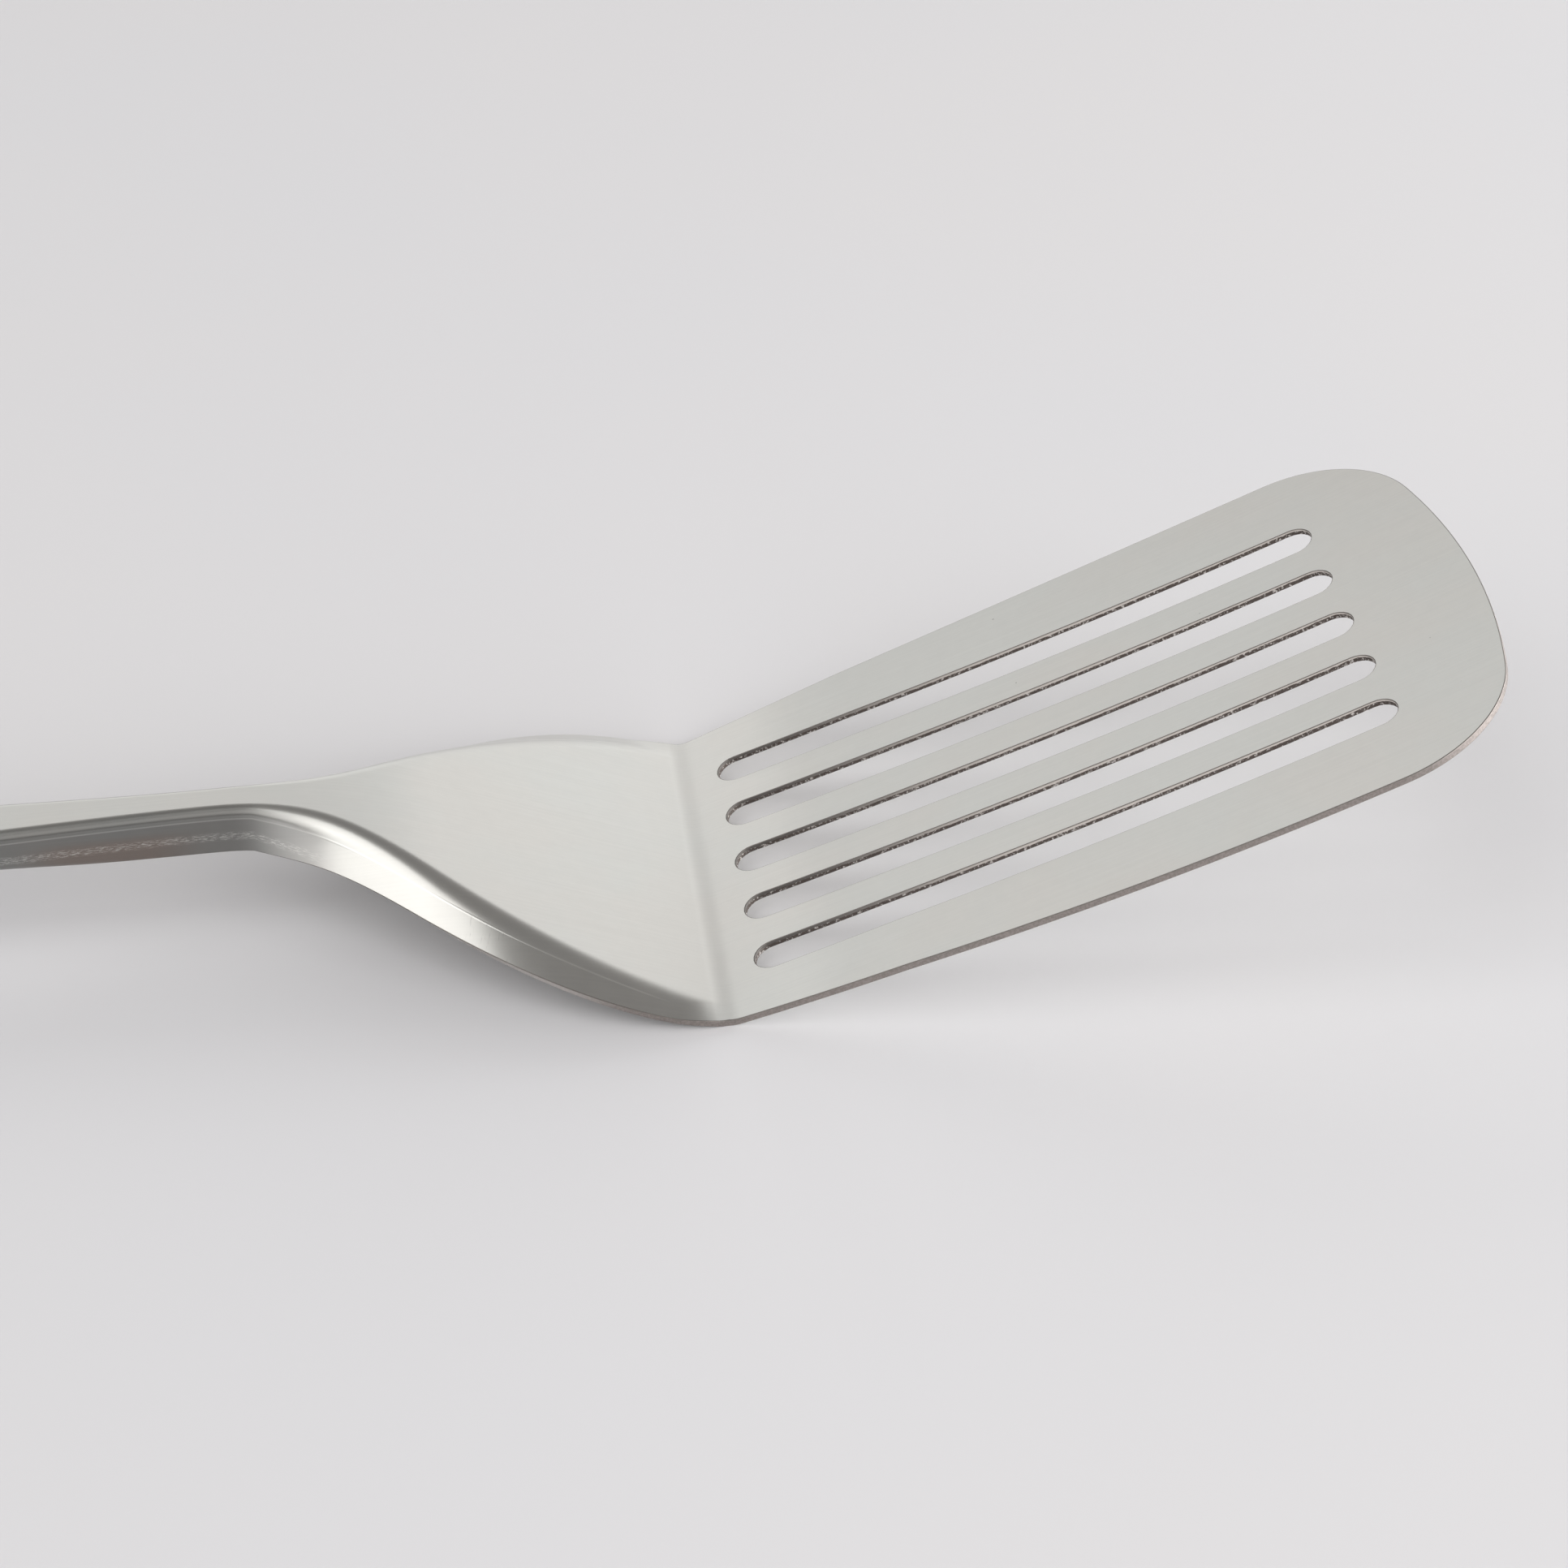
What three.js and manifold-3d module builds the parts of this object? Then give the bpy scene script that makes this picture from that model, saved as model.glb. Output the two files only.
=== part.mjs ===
// Slotted turner in stainless steel, lying at rest on its heel and on the tail of its handle.
// Units are millimetres, +Z is up and +X runs from the handle to the tip of the blade.
// One pressed sheet makes the blade, the shoulder, the channel shank and the tang.
// Two pressed pans, closed by a ferrule, make the hollow handle that is riveted round the tang.

import * as THREE from 'three';
import { mergeVertices } from 'three/addons/utils/BufferGeometryUtils.js';
import Module from 'manifold-3d';

const wasm = await Module();
wasm.setup();

// Sheet
const SHEET = 1.0;

// Blade: measured along the sheet from the crease at the heel
const BLADE_LENGTH = 116;
const BLADE_ROOT_WIDTH = 67.8;
const BLADE_FLARE_DEG = 6.2;
const BLADE_SIDE_RADIUS = 860;
const TIP_RADIUS = 112;
const CORNER_RADIUS = 18.9;
const BLADE_RISE_DEG = 19.2;
const BOW_RADIUS = 1175;
const DISH_DEPTH = 0.8;
const DISH_RUN = 25;

// Slots: equal and parallel, set in from the edges of the blade
const SLOT_COUNT = 5;
const SLOT_WIDTH = 5.6;
const SLOT_SIDE_MARGIN = 8.1;
const SLOT_HEEL_MARGIN = 5.1;
const SLOT_TIP_MARGIN = 17.8;

// Shoulder and shank: measured along the sheet, behind the crease
const SHOULDER_LENGTH = 55;
const SHOULDER_FALL_DEG = 20.8;
const HEEL_RADIUS = 5;
const NECK_RADIUS = 75;
const SHANK_LENGTH = 80;
const SHANK_FALL_DEG = 1.9;
const SHOULDER_TAPER_DEG = 5.7;
const SHOULDER_SIDE_RADIUS = 57.7;
const NECK_BLEND = 10.9;
const WAIST_DISTANCE = 70;
const WAIST_FLAT_WIDTH = 1.0;
const MOUTH_FLAT_WIDTH = 9.4;

// Turned-down edge of the shoulder and shank
const FOLD_RUN = 65;
const HEEL_FOLD_DEG = 15.7;
const HEEL_FOLD_RUN = 8;
const NECK_FOLD_DEG = 98;
const HEEL_BEND_RADIUS = 11.5;
const NECK_BEND_RADIUS = 1.4;
const HEEL_EDGE = 4;
const NECK_EDGE = 8.4;
const CURL_RADIUS = 2.2;
const CURL_DEG = 80;
const CURL_RUN = 50;

// Handle
const TANG_LENGTH = 60;
const FERRULE_LENGTH = 12;
const FERRULE_NOSE_LIP = 1.2;
const SPIGOT_LENGTH = 6;
const SPIGOT_WALL = 1.4;
const SHELL_WALL = 1.0;
const HANDLE_LENGTH = 122;
const GRIP_WIDTH = 24;
const HANDLE_CORNER = 4.5;
const HANGING_HOLE_DIAMETER = 8;
const HANGING_HOLE_INSET = 14;
const BUSH_WALL = 0.8;
const RIVET_DIAMETER = 3.2;
const RIVET_HEAD_DIAMETER = 5.6;
const RIVET_HEAD_HEIGHT = 1.1;
const RIVET_INSET = 10;

// Clearances between separate pieces
const FIT_GAP = 0.3;

// Counts of mesh steps
const SLOT_STEP_COUNT = 4;
const REMAINDER_STEP_COUNT = 1;
const BEND_STEP_COUNT = 3;
const WALL_STEP_COUNT = 1;
const CURL_STEP_COUNT = 2;
const ROOT_STEP_COUNT = 2;
const SLOTTED_STEP_COUNT = 8;
const TIP_STEP_COUNT = 4;
const SHOULDER_STEP_COUNT = 9;
const NECK_STEP_COUNT = 4;
const SHANK_STEP_COUNT = 4;
const ROUND_STEP_COUNT = 20;
const CORNER_STEP_COUNT = 4;

const STEEL = { color: 0xbdbcb7, metalness: 1.0, roughness: 0.32 };
const SHEARED_STEEL = { color: 0xa3a09a, metalness: 1.0, roughness: 0.4 };

const radians = THREE.MathUtils.degToRad;
const mix = THREE.MathUtils.lerp;
const ease = (t) => THREE.MathUtils.smoothstep(t, 0, 1);
const share = (t) => THREE.MathUtils.clamp(t, 0, 1);
const steps = (count) => Array.from({ length: count + 1 }, (_, i) => i / count);

// Values that follow from the driving dimensions
const rootHalf = BLADE_ROOT_WIDTH / 2;
const slotRadius = SLOT_WIDTH / 2;
const slottedHalf = rootHalf - SLOT_SIDE_MARGIN;
const slotPitch = (2 * slottedHalf - SLOT_WIDTH) / (SLOT_COUNT - 1);
const slotFrom = SLOT_HEEL_MARGIN + slotRadius;
const slotTo = BLADE_LENGTH - SLOT_TIP_MARGIN - slotRadius;
const heelTurn = radians(SHOULDER_FALL_DEG + BLADE_RISE_DEG);
const heelReach = HEEL_RADIUS * heelTurn / 2;
const creaseHeading = radians(BLADE_RISE_DEG - SHOULDER_FALL_DEG) / 2;
const creaseHeight = HEEL_RADIUS + SHEET - HEEL_RADIUS * Math.cos(creaseHeading);
const mouthDistance = SHOULDER_LENGTH + SHANK_LENGTH;

// A point and heading after walking a distance along lines and arcs, in the plane of the side profile.
function walk(heading, stretches, distance) {
	const at = { x: 0, z: 0, heading };
	let left = distance;
	for (const { length, turn } of stretches) {
		const run = Math.min(left, length);
		const bend = turn * run / length;
		const chord = bend === 0 ? run : run * Math.sin(bend / 2) / (bend / 2);
		at.x += chord * Math.cos(at.heading + bend / 2);
		at.z += chord * Math.sin(at.heading + bend / 2);
		at.heading += bend;
		left -= run;
	}
	return at;
}

const bladeStretches = [
	{ length: heelReach, turn: heelTurn / 2 },
	{ length: BLADE_LENGTH, turn: BLADE_LENGTH / BOW_RADIUS },
];

function bodyStretches(handleFall) {
	const neckTurn = radians(SHOULDER_FALL_DEG + SHANK_FALL_DEG);
	const neckReach = NECK_RADIUS * neckTurn / 2;
	return [
		{ length: heelReach, turn: heelTurn / 2 },
		{ length: SHOULDER_LENGTH - heelReach - neckReach, turn: 0 },
		{ length: 2 * neckReach, turn: -neckTurn },
		{ length: SHANK_LENGTH - neckReach - SHEET, turn: 0 },
		{ length: SHEET, turn: radians(SHANK_FALL_DEG) - handleFall },
		{ length: TANG_LENGTH, turn: 0 },
	];
}

// Top of the sheet on the centre line, s being the distance from the crease, positive on the blade.
function profile(s, stretches) {
	if (s >= 0) {
		const at = walk(creaseHeading, bladeStretches, s);
		return { x: at.x, z: at.z + creaseHeight, slope: at.heading };
	}
	const at = walk(-creaseHeading, stretches, -s);
	return { x: -at.x, z: at.z + creaseHeight, slope: -at.heading };
}

// Cross-section of the formed sheet at a distance behind the crease. The bowed side of the shoulder's flat
// and the straight side of the shank's run into each other along a hyperbola.
function sectionForm(distance) {
	const turned = share(distance / FOLD_RUN);
	const widen = (MOUTH_FLAT_WIDTH - WAIST_FLAT_WIDTH) / 2 / (mouthDistance - WAIST_DISTANCE);
	const shankRoot = WAIST_FLAT_WIDTH / 2 - WAIST_DISTANCE * widen;
	const lead = rootHalf - HEEL_EDGE - shankRoot;
	const bow = distance * Math.tan(radians(SHOULDER_TAPER_DEG)) + distance ** 2 / (2 * SHOULDER_SIDE_RADIUS);
	const gap = lead - NECK_BLEND ** 2 / (4 * lead) - bow - distance * widen;
	const heelFold = HEEL_FOLD_DEG * ease(distance / HEEL_FOLD_RUN);
	return {
		flat: shankRoot + distance * widen + (gap + Math.hypot(gap, NECK_BLEND)) / 2,
		fold: radians(heelFold + (NECK_FOLD_DEG - HEEL_FOLD_DEG) * turned ** 2.05),
		bend: mix(HEEL_BEND_RADIUS, NECK_BEND_RADIUS, turned ** 1.1),
		edge: mix(HEEL_EDGE, NECK_EDGE, 1 - (1 - turned) ** 4),
		curl: radians(CURL_DEG) * ease((distance - FOLD_RUN) / CURL_RUN),
	};
}

// A point on the turned edge: reach is measured along the sheet from the end of the flat.
function edgePoint(reach, form) {
	const bendRun = form.bend * form.fold;
	const curlRun = CURL_RADIUS * form.curl;
	const wallRun = form.edge - bendRun - curlRun;
	const onBend = THREE.MathUtils.clamp(reach, 0, bendRun) / form.bend;
	const onWall = THREE.MathUtils.clamp(reach - bendRun, 0, wallRun);
	const onCurl = Math.max(reach - bendRun - wallRun, 0) / CURL_RADIUS;
	const lean = onBend + onCurl;
	const flat = form.flat + Math.min(reach, 0);
	return {
		y: flat + form.bend * Math.sin(onBend) + onWall * Math.cos(form.fold)
			+ CURL_RADIUS * (Math.sin(lean) - Math.sin(onBend)),
		drop: form.bend * (1 - Math.cos(onBend)) + onWall * Math.sin(form.fold)
			+ CURL_RADIUS * (Math.cos(onBend) - Math.cos(lean)),
		lean,
	};
}

const tangForm = sectionForm(mouthDistance);
const tangHalf = tangForm.flat + tangForm.bend;
const tangLip = edgePoint(tangForm.edge, tangForm);
const tangDepth = tangLip.drop;

// Section of the handle: half sizes that leave room for the tang, the spigot and the shells
const handleHalfDepth = tangDepth / 2 + FIT_GAP + SPIGOT_WALL + FIT_GAP + SHELL_WALL;
const mouthHalf = tangHalf + FIT_GAP + SPIGOT_WALL + FIT_GAP + SHELL_WALL;
const gripHalf = GRIP_WIDTH / 2;
const handleCorner = Math.min(HANDLE_CORNER, handleHalfDepth - SHELL_WALL);

// The handle falls from the end of the shank until the underside of its tail lies on the ground.
function handlePlace() {
	const mouth = profile(-mouthDistance, bodyStretches(radians(SHANK_FALL_DEG)));
	const height = mouth.z - Math.cos(mouth.slope) * tangDepth / 2;
	const run = FERRULE_LENGTH + HANDLE_LENGTH - handleCorner;
	const fall = Math.asin(height / Math.hypot(run, handleHalfDepth)) - Math.atan2(handleHalfDepth, run);
	return { x: mouth.x + Math.sin(mouth.slope) * tangDepth / 2, z: height, fall };
}

const handle = handlePlace();
const headStretches = bodyStretches(handle.fall);

// Half outline of the blade: an arc along the side, an arc round the corner and an arc over the tip.
function bladeOutline() {
	const flare = radians(BLADE_FLARE_DEG);
	const sideCentre = new THREE.Vector2(
		BLADE_SIDE_RADIUS * Math.sin(flare),
		rootHalf - BLADE_SIDE_RADIUS * Math.cos(flare),
	);
	const tipCentre = new THREE.Vector2(BLADE_LENGTH - TIP_RADIUS, 0);
	const fromSide = BLADE_SIDE_RADIUS - CORNER_RADIUS;
	const fromTip = TIP_RADIUS - CORNER_RADIUS;
	const between = tipCentre.clone().sub(sideCentre);
	const apart = between.length();
	const along = (fromSide ** 2 - fromTip ** 2 + apart ** 2) / (2 * apart);
	const aside = Math.sqrt(fromSide ** 2 - along ** 2);
	const unit = between.normalize();
	const cornerCentre = sideCentre.clone()
		.addScaledVector(unit, along)
		.addScaledVector(new THREE.Vector2(unit.y, -unit.x), aside);
	const sideAngle = cornerCentre.clone().sub(sideCentre).angle();
	const tipAngle = cornerCentre.clone().sub(tipCentre).angle();
	const tipShoulder = TIP_RADIUS * Math.sin(tipAngle);
	return {
		sideCentre,
		cornerCentre,
		sideAngle,
		sideEnd: sideCentre.x + BLADE_SIDE_RADIUS * Math.cos(sideAngle),
		cornerAngle: (sideAngle + tipAngle) / 2,
		halfWidth: (s) => sideCentre.y + Math.sqrt(BLADE_SIDE_RADIUS ** 2 - (s - sideCentre.x) ** 2),
		tipAt: (y) => (y < tipShoulder
			? tipCentre.x + Math.sqrt(TIP_RADIUS ** 2 - y ** 2)
			: cornerCentre.x + Math.sqrt(CORNER_RADIUS ** 2 - (y - cornerCentre.y) ** 2)),
	};
}

const outline = bladeOutline();
const panelRoot = Math.min(slotTo, outline.sideEnd) - slotRadius;

// Positions across the slotted middle of the blade, each with the slot that it lies in, if any.
function middleColumns() {
	const columns = [];
	for (let slot = 0; slot < SLOT_COUNT; slot++) {
		const centre = (slot - (SLOT_COUNT - 1) / 2) * slotPitch;
		for (const t of steps(SLOT_STEP_COUNT)) {
			columns.push({ y: centre - slotRadius * Math.cos(Math.PI * t), centre, ends: t === 0 || t === 1 });
		}
	}
	return columns;
}

const middle = middleColumns();
const edgeSteps = REMAINDER_STEP_COUNT + BEND_STEP_COUNT + WALL_STEP_COUNT + CURL_STEP_COUNT;

// The corner panel outside the slots at the tip: its four sides are blended into a grid.
function cornerPanel() {
	const side = new THREE.Path();
	const start = Math.acos((panelRoot - outline.sideCentre.x) / BLADE_SIDE_RADIUS);
	side.absarc(outline.sideCentre.x, outline.sideCentre.y, BLADE_SIDE_RADIUS, start, outline.sideAngle, true);
	side.absarc(outline.cornerCentre.x, outline.cornerCentre.y, CORNER_RADIUS,
		outline.sideAngle, outline.cornerAngle, true);
	const corner = side.getPointAt(1);
	const inner = new THREE.Vector2(outline.tipAt(slottedHalf), slottedHalf);
	const root = side.getPointAt(0);
	const foot = new THREE.Vector2(slotTo, slottedHalf);
	return (along, across) => {
		const y = mix(slottedHalf, corner.y, across);
		const tip = new THREE.Vector2(outline.tipAt(y), y);
		const edge = side.getPointAt(along);
		const low = foot.clone().lerp(inner, along);
		const back = foot.clone().lerp(root, across);
		const flat = foot.clone().lerp(inner, along).lerp(root.clone().lerp(corner, along), across);
		return low.lerp(edge, across).add(back.lerp(tip, along)).sub(flat);
	};
}

// One row of blade points from edge to edge. Stretch 0 is the root, 1 the slots and 2 the tip.
function bladeRow(stretch, t, panel) {
	const limits = ({ y, centre, ends }) => {
		const rise = ends ? 0 : Math.sqrt(slotRadius ** 2 - (y - centre) ** 2);
		return [heelReach, slotFrom - rise, slotTo + rise, outline.tipAt(Math.abs(y))];
	};
	const point = (s, y) => ({ s, y, drop: -dish(s, y), lean: 0 });
	const outer = (side) => steps(edgeSteps).slice(1).map((across) => {
		if (stretch === 2) {
			const at = panel(t, across);
			return point(at.x, side * at.y);
		}
		const last = mix(slotTo, panelRoot, across);
		const s = stretch === 0 ? mix(heelReach, slotFrom, t) : mix(slotFrom, last, t);
		return point(s, side * mix(slottedHalf, outline.halfWidth(s), across));
	});
	const inner = middle.map((column) => {
		const bounds = limits(column);
		return point(mix(bounds[stretch], bounds[stretch + 1], t), column.y);
	});
	return [...outer(-1).reverse(), ...inner, ...outer(1)];
}

// The blade is slightly hollow: its edges stand above its centre line.
function dish(s, y) {
	return DISH_DEPTH * (y / outline.halfWidth(slotTo)) ** 2 * share(s / DISH_RUN);
}

// One row of points across the shoulder, the shank or the tang.
function bodyRow(s) {
	const distance = Math.min(Math.max(-s, 0), mouthDistance);
	const form = sectionForm(distance);
	const held = slottedHalf / (rootHalf - HEEL_EDGE);
	const rest = form.flat * (1 - held);
	const bendRun = form.bend * form.fold;
	const lipRun = Math.max(CURL_RADIUS * form.curl, (form.edge - bendRun) / 3);
	const marks = [-rest, 0, bendRun, form.edge - lipRun, form.edge];
	const counts = [REMAINDER_STEP_COUNT, BEND_STEP_COUNT, WALL_STEP_COUNT, CURL_STEP_COUNT];
	const fitted = counts.flatMap((count, i) => steps(count).slice(1).map((t) => mix(marks[i], marks[i + 1], t)));
	const even = steps(edgeSteps).slice(1).map((t) => mix(-rest, form.edge, t));
	const settle = ease(distance / HEEL_FOLD_RUN);
	const outer = (side) => fitted.map((reach, i) => {
		const at = edgePoint(mix(even[i], reach, settle), form);
		return { s, y: side * at.y, drop: at.drop, lean: side * at.lean };
	});
	const inner = middle.map(({ y }) => ({ s, y: y / slottedHalf * form.flat * held, drop: 0, lean: 0 }));
	return [...outer(-1).reverse(), ...inner, ...outer(1)];
}

// Rows of the whole sheet from the end of the tang to the tip.
function headRows() {
	const lengths = headStretches.map(({ length }) => length);
	const counts = [1, SHOULDER_STEP_COUNT, NECK_STEP_COUNT, SHANK_STEP_COUNT, 1, 1];
	const back = [0];
	lengths.forEach((length, i) => {
		const from = lengths.slice(0, i).reduce((sum, value) => sum + value, 0);
		back.push(...steps(counts[i]).slice(1).map((t) => from + t * length));
	});
	const panel = cornerPanel();
	const blade = [ROOT_STEP_COUNT, SLOTTED_STEP_COUNT, TIP_STEP_COUNT].flatMap((count, stretch) => (
		steps(count).slice(stretch === 0 ? 0 : 1).map((t) => ({ stretch, points: bladeRow(stretch, t, panel) }))
	));
	const body = back.reverse().map((distance) => ({ stretch: -1, points: bodyRow(-distance) }));
	return [...body, ...blade];
}

// A pressed sheet: the top points and the same points a thickness below, closed by walls round every edge.
function sheetGeometry(rows, isOpen) {
	const across = rows[0].points.length;
	const top = [];
	const under = [];
	for (const { points } of rows) {
		for (const { s, y, drop, lean } of points) {
			const { x, z, slope } = profile(s, headStretches);
			const at = new THREE.Vector3(x + drop * Math.sin(slope), y, z - drop * Math.cos(slope));
			const normal = new THREE.Vector3(
				-Math.cos(lean) * Math.sin(slope),
				Math.sin(lean),
				Math.cos(lean) * Math.cos(slope),
			);
			top.push(...at.toArray());
			under.push(...at.addScaledVector(normal, -SHEET).toArray());
		}
	}
	const below = rows.length * across;
	const index = [];
	const edges = new Map();
	const face = (a, b, c) => {
		index.push(a, b, c, below + a, below + c, below + b);
		for (const [from, to] of [[a, b], [b, c], [c, a]]) {
			if (!edges.delete(`${to} ${from}`)) edges.set(`${from} ${to}`, [from, to]);
		}
	};
	for (let row = 0; row + 1 < rows.length; row++) {
		for (let column = 0; column + 1 < across; column++) {
			if (isOpen(rows[row + 1].stretch, column)) continue;
			const near = row * across + column;
			const far = near + across;
			face(near, far, far + 1);
			face(near, far + 1, near + 1);
		}
	}
	for (const [from, to] of edges.values()) {
		index.push(to, from, below + from, to, below + from, below + to);
	}
	const geometry = new THREE.BufferGeometry();
	geometry.setAttribute('position', new THREE.Float32BufferAttribute([...top, ...under], 3));
	geometry.setIndex(index);
	return mergeVertices(geometry.toNonIndexed());
}

function turnerHead() {
	const isOpen = (stretch, column) => {
		const place = column - edgeSteps;
		const inMiddle = place >= 0 && place + 1 < middle.length;
		return stretch === 1 && inMiddle && middle[place].centre === middle[place + 1].centre;
	};
	return toSolid(sheetGeometry(headRows(), isOpen));
}

function toSolid(geometry) {
	const bare = new THREE.BufferGeometry();
	bare.setAttribute('position', geometry.getAttribute('position'));
	bare.setIndex(geometry.getIndex());
	const merged = mergeVertices(bare);
	return new wasm.Manifold(new wasm.Mesh({
		numProp: 3,
		vertProperties: new Float32Array(merged.getAttribute('position').array),
		triVerts: new Uint32Array(merged.getIndex().array),
	}));
}

function toMesh(name, solid, finish) {
	const { vertProperties, triVerts } = solid.getMesh();
	const geometry = new THREE.BufferGeometry();
	geometry.setAttribute('position', new THREE.BufferAttribute(vertProperties, 3));
	geometry.setIndex(new THREE.BufferAttribute(triVerts, 1));
	geometry.computeVertexNormals();
	const mesh = new THREE.Mesh(geometry, new THREE.MeshStandardMaterial(finish));
	mesh.name = name;
	return mesh;
}

function block(low, high) {
	const size = new THREE.Vector3().subVectors(high, low);
	const centre = new THREE.Vector3().addVectors(low, high).divideScalar(2);
	return toSolid(new THREE.BoxGeometry(size.x, size.y, size.z).translate(centre.x, centre.y, centre.z));
}

// A turned piece whose axis stands upright in the handle.
function turned(profilePoints, x) {
	const points = profilePoints.map(([radius, z]) => new THREE.Vector2(radius, z));
	return toSolid(new THREE.LatheGeometry(points, ROUND_STEP_COUNT).rotateX(Math.PI / 2).translate(x, 0, 0));
}

function uprightPin(radius, low, high, x) {
	return turned([[0, low], [radius, low], [radius, high], [0, high]], x);
}

// The handle's own frame: x runs forward along its axis from the end of the shank, z is square to the grip.
const shellFront = -FERRULE_LENGTH;
const tailEnd = shellFront - HANDLE_LENGTH;
const rivetPlaces = [shellFront - SPIGOT_LENGTH - RIVET_INSET, -TANG_LENGTH + RIVET_INSET];
const holePlace = tailEnd + HANGING_HOLE_INSET;
const bushRadius = HANGING_HOLE_DIAMETER / 2 + BUSH_WALL;
const rivetRadius = RIVET_DIAMETER / 2;

// Outer or inner form of the whole grip: its plan outline raised with rounded edges, run on past the mouth.
function gripForm(inset) {
	const corner = handleCorner - inset;
	const mouth = mouthHalf - inset;
	const tail = gripHalf - inset;
	const centre = tailEnd + gripHalf;
	const plan = new THREE.Shape();
	const front = shellFront + gripHalf;
	const belly = (shellFront + centre) / 2;
	plan.moveTo(front, mouth);
	plan.lineTo(shellFront, mouth);
	plan.quadraticCurveTo(belly, tail, centre, tail);
	plan.absarc(centre, 0, tail, Math.PI / 2, Math.PI * 1.5, false);
	plan.quadraticCurveTo(belly, -tail, shellFront, -mouth);
	plan.lineTo(front, -mouth);
	const depth = 2 * (handleHalfDepth - inset - corner);
	const raised = new THREE.ExtrudeGeometry(plan, {
		depth,
		curveSegments: ROUND_STEP_COUNT / 2,
		bevelSize: corner,
		bevelOffset: -corner,
		bevelThickness: corner,
		bevelSegments: CORNER_STEP_COUNT,
	});
	return toSolid(raised.translate(0, 0, -depth / 2));
}

function handleShells() {
	const reach = HANDLE_LENGTH + GRIP_WIDTH;
	const away = GRIP_WIDTH;
	const beyond = block(new THREE.Vector3(shellFront, -away, -away), new THREE.Vector3(reach, away, away));
	let hollow = gripForm(0).subtract(gripForm(SHELL_WALL)).subtract(beyond);
	for (const x of rivetPlaces) {
		hollow = hollow.subtract(uprightPin(rivetRadius + FIT_GAP, -away, away, x));
	}
	hollow = hollow.subtract(uprightPin(bushRadius + FIT_GAP, -away, away, holePlace));
	const half = (low, high) => hollow.subtract(
		block(new THREE.Vector3(-reach - away, -away, low), new THREE.Vector3(reach, away, high)),
	);
	return { upper: half(-away, FIT_GAP / 2), lower: half(-FIT_GAP / 2, away) };
}

// A rounded rectangle across the handle, at a place along its axis.
function roundedRing(x, halfWidth, halfDepth, radius) {
	const ring = [];
	for (const [side, up, start] of [[1, 1, 0], [-1, 1, 1], [-1, -1, 2], [1, -1, 3]]) {
		for (const t of steps(CORNER_STEP_COUNT)) {
			const angle = (start + t) * Math.PI / 2;
			ring.push(new THREE.Vector3(
				x,
				side * (halfWidth - radius) + radius * Math.cos(angle),
				up * (halfDepth - radius) + radius * Math.sin(angle),
			));
		}
	}
	return ring;
}

// A closed form through rings that stand along the handle's axis, from front to back.
function loft(rings) {
	const count = rings[0].length;
	const points = rings.flat();
	const index = [];
	for (let ring = 0; ring + 1 < rings.length; ring++) {
		for (let i = 0; i < count; i++) {
			const next = (i + 1) % count;
			const [a, b] = [ring * count + i, ring * count + next];
			index.push(a, a + count, b + count, a, b + count, b);
		}
	}
	const last = (rings.length - 1) * count;
	for (let i = 1; i + 1 < count; i++) {
		index.push(0, i, i + 1, last, last + i + 1, last + i);
	}
	const geometry = new THREE.BufferGeometry().setFromPoints(points);
	geometry.setIndex(index);
	return toSolid(geometry);
}

function ferrule() {
	const noseHalf = tangHalf + FIT_GAP + FERRULE_NOSE_LIP;
	const noseDepth = tangDepth / 2 + FIT_GAP + FERRULE_NOSE_LIP;
	const noseCorner = Math.min(handleCorner, noseDepth - FERRULE_NOSE_LIP);
	const sleeve = steps(CORNER_STEP_COUNT).map((t) => roundedRing(
		-t * (FERRULE_LENGTH - FIT_GAP),
		mix(noseHalf, mouthHalf, Math.sin(t * Math.PI / 2)),
		mix(noseDepth, handleHalfDepth, Math.sin(t * Math.PI / 2)),
		mix(noseCorner, handleCorner, t),
	));
	const inset = SHELL_WALL + FIT_GAP;
	const spigot = [shellFront + SPIGOT_LENGTH / 2, shellFront - SPIGOT_LENGTH].map((x) => (
		roundedRing(x, mouthHalf - inset, handleHalfDepth - inset, handleCorner - inset)
	));
	const aperture = [FERRULE_LENGTH, shellFront - 2 * SPIGOT_LENGTH].map((x) => (
		roundedRing(x, tangHalf + FIT_GAP, tangDepth / 2 + FIT_GAP, tangForm.bend)
	));
	return loft(sleeve).add(loft(spigot)).subtract(loft(aperture));
}

// A bar between the lips of the channel tang, so that the rivets clamp on solid metal.
function tangPacking() {
	const half = tangLip.y - FIT_GAP;
	const front = shellFront - SPIGOT_LENGTH - FIT_GAP;
	const top = tangDepth / 2 - SHEET - FIT_GAP;
	const foot = -handleHalfDepth + SHELL_WALL + FIT_GAP;
	let bar = block(
		new THREE.Vector3(-TANG_LENGTH, -half, foot),
		new THREE.Vector3(front, half, top),
	);
	for (const x of rivetPlaces) {
		bar = bar.subtract(uprightPin(rivetRadius + FIT_GAP, 2 * foot, 2 * top, x));
	}
	return bar;
}

function rivet(x) {
	const seat = handleHalfDepth + FIT_GAP;
	const head = RIVET_HEAD_DIAMETER / 2;
	const dome = steps(CORNER_STEP_COUNT).map((t) => [
		head * Math.cos(t * Math.PI / 2),
		seat + RIVET_HEAD_HEIGHT * Math.sin(t * Math.PI / 2),
	]);
	dome[dome.length - 1][0] = 0;
	const upper = [[rivetRadius, seat], ...dome];
	const lower = upper.map(([radius, z]) => [radius, -z]).reverse();
	return turned([...lower, ...upper], x);
}

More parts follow.
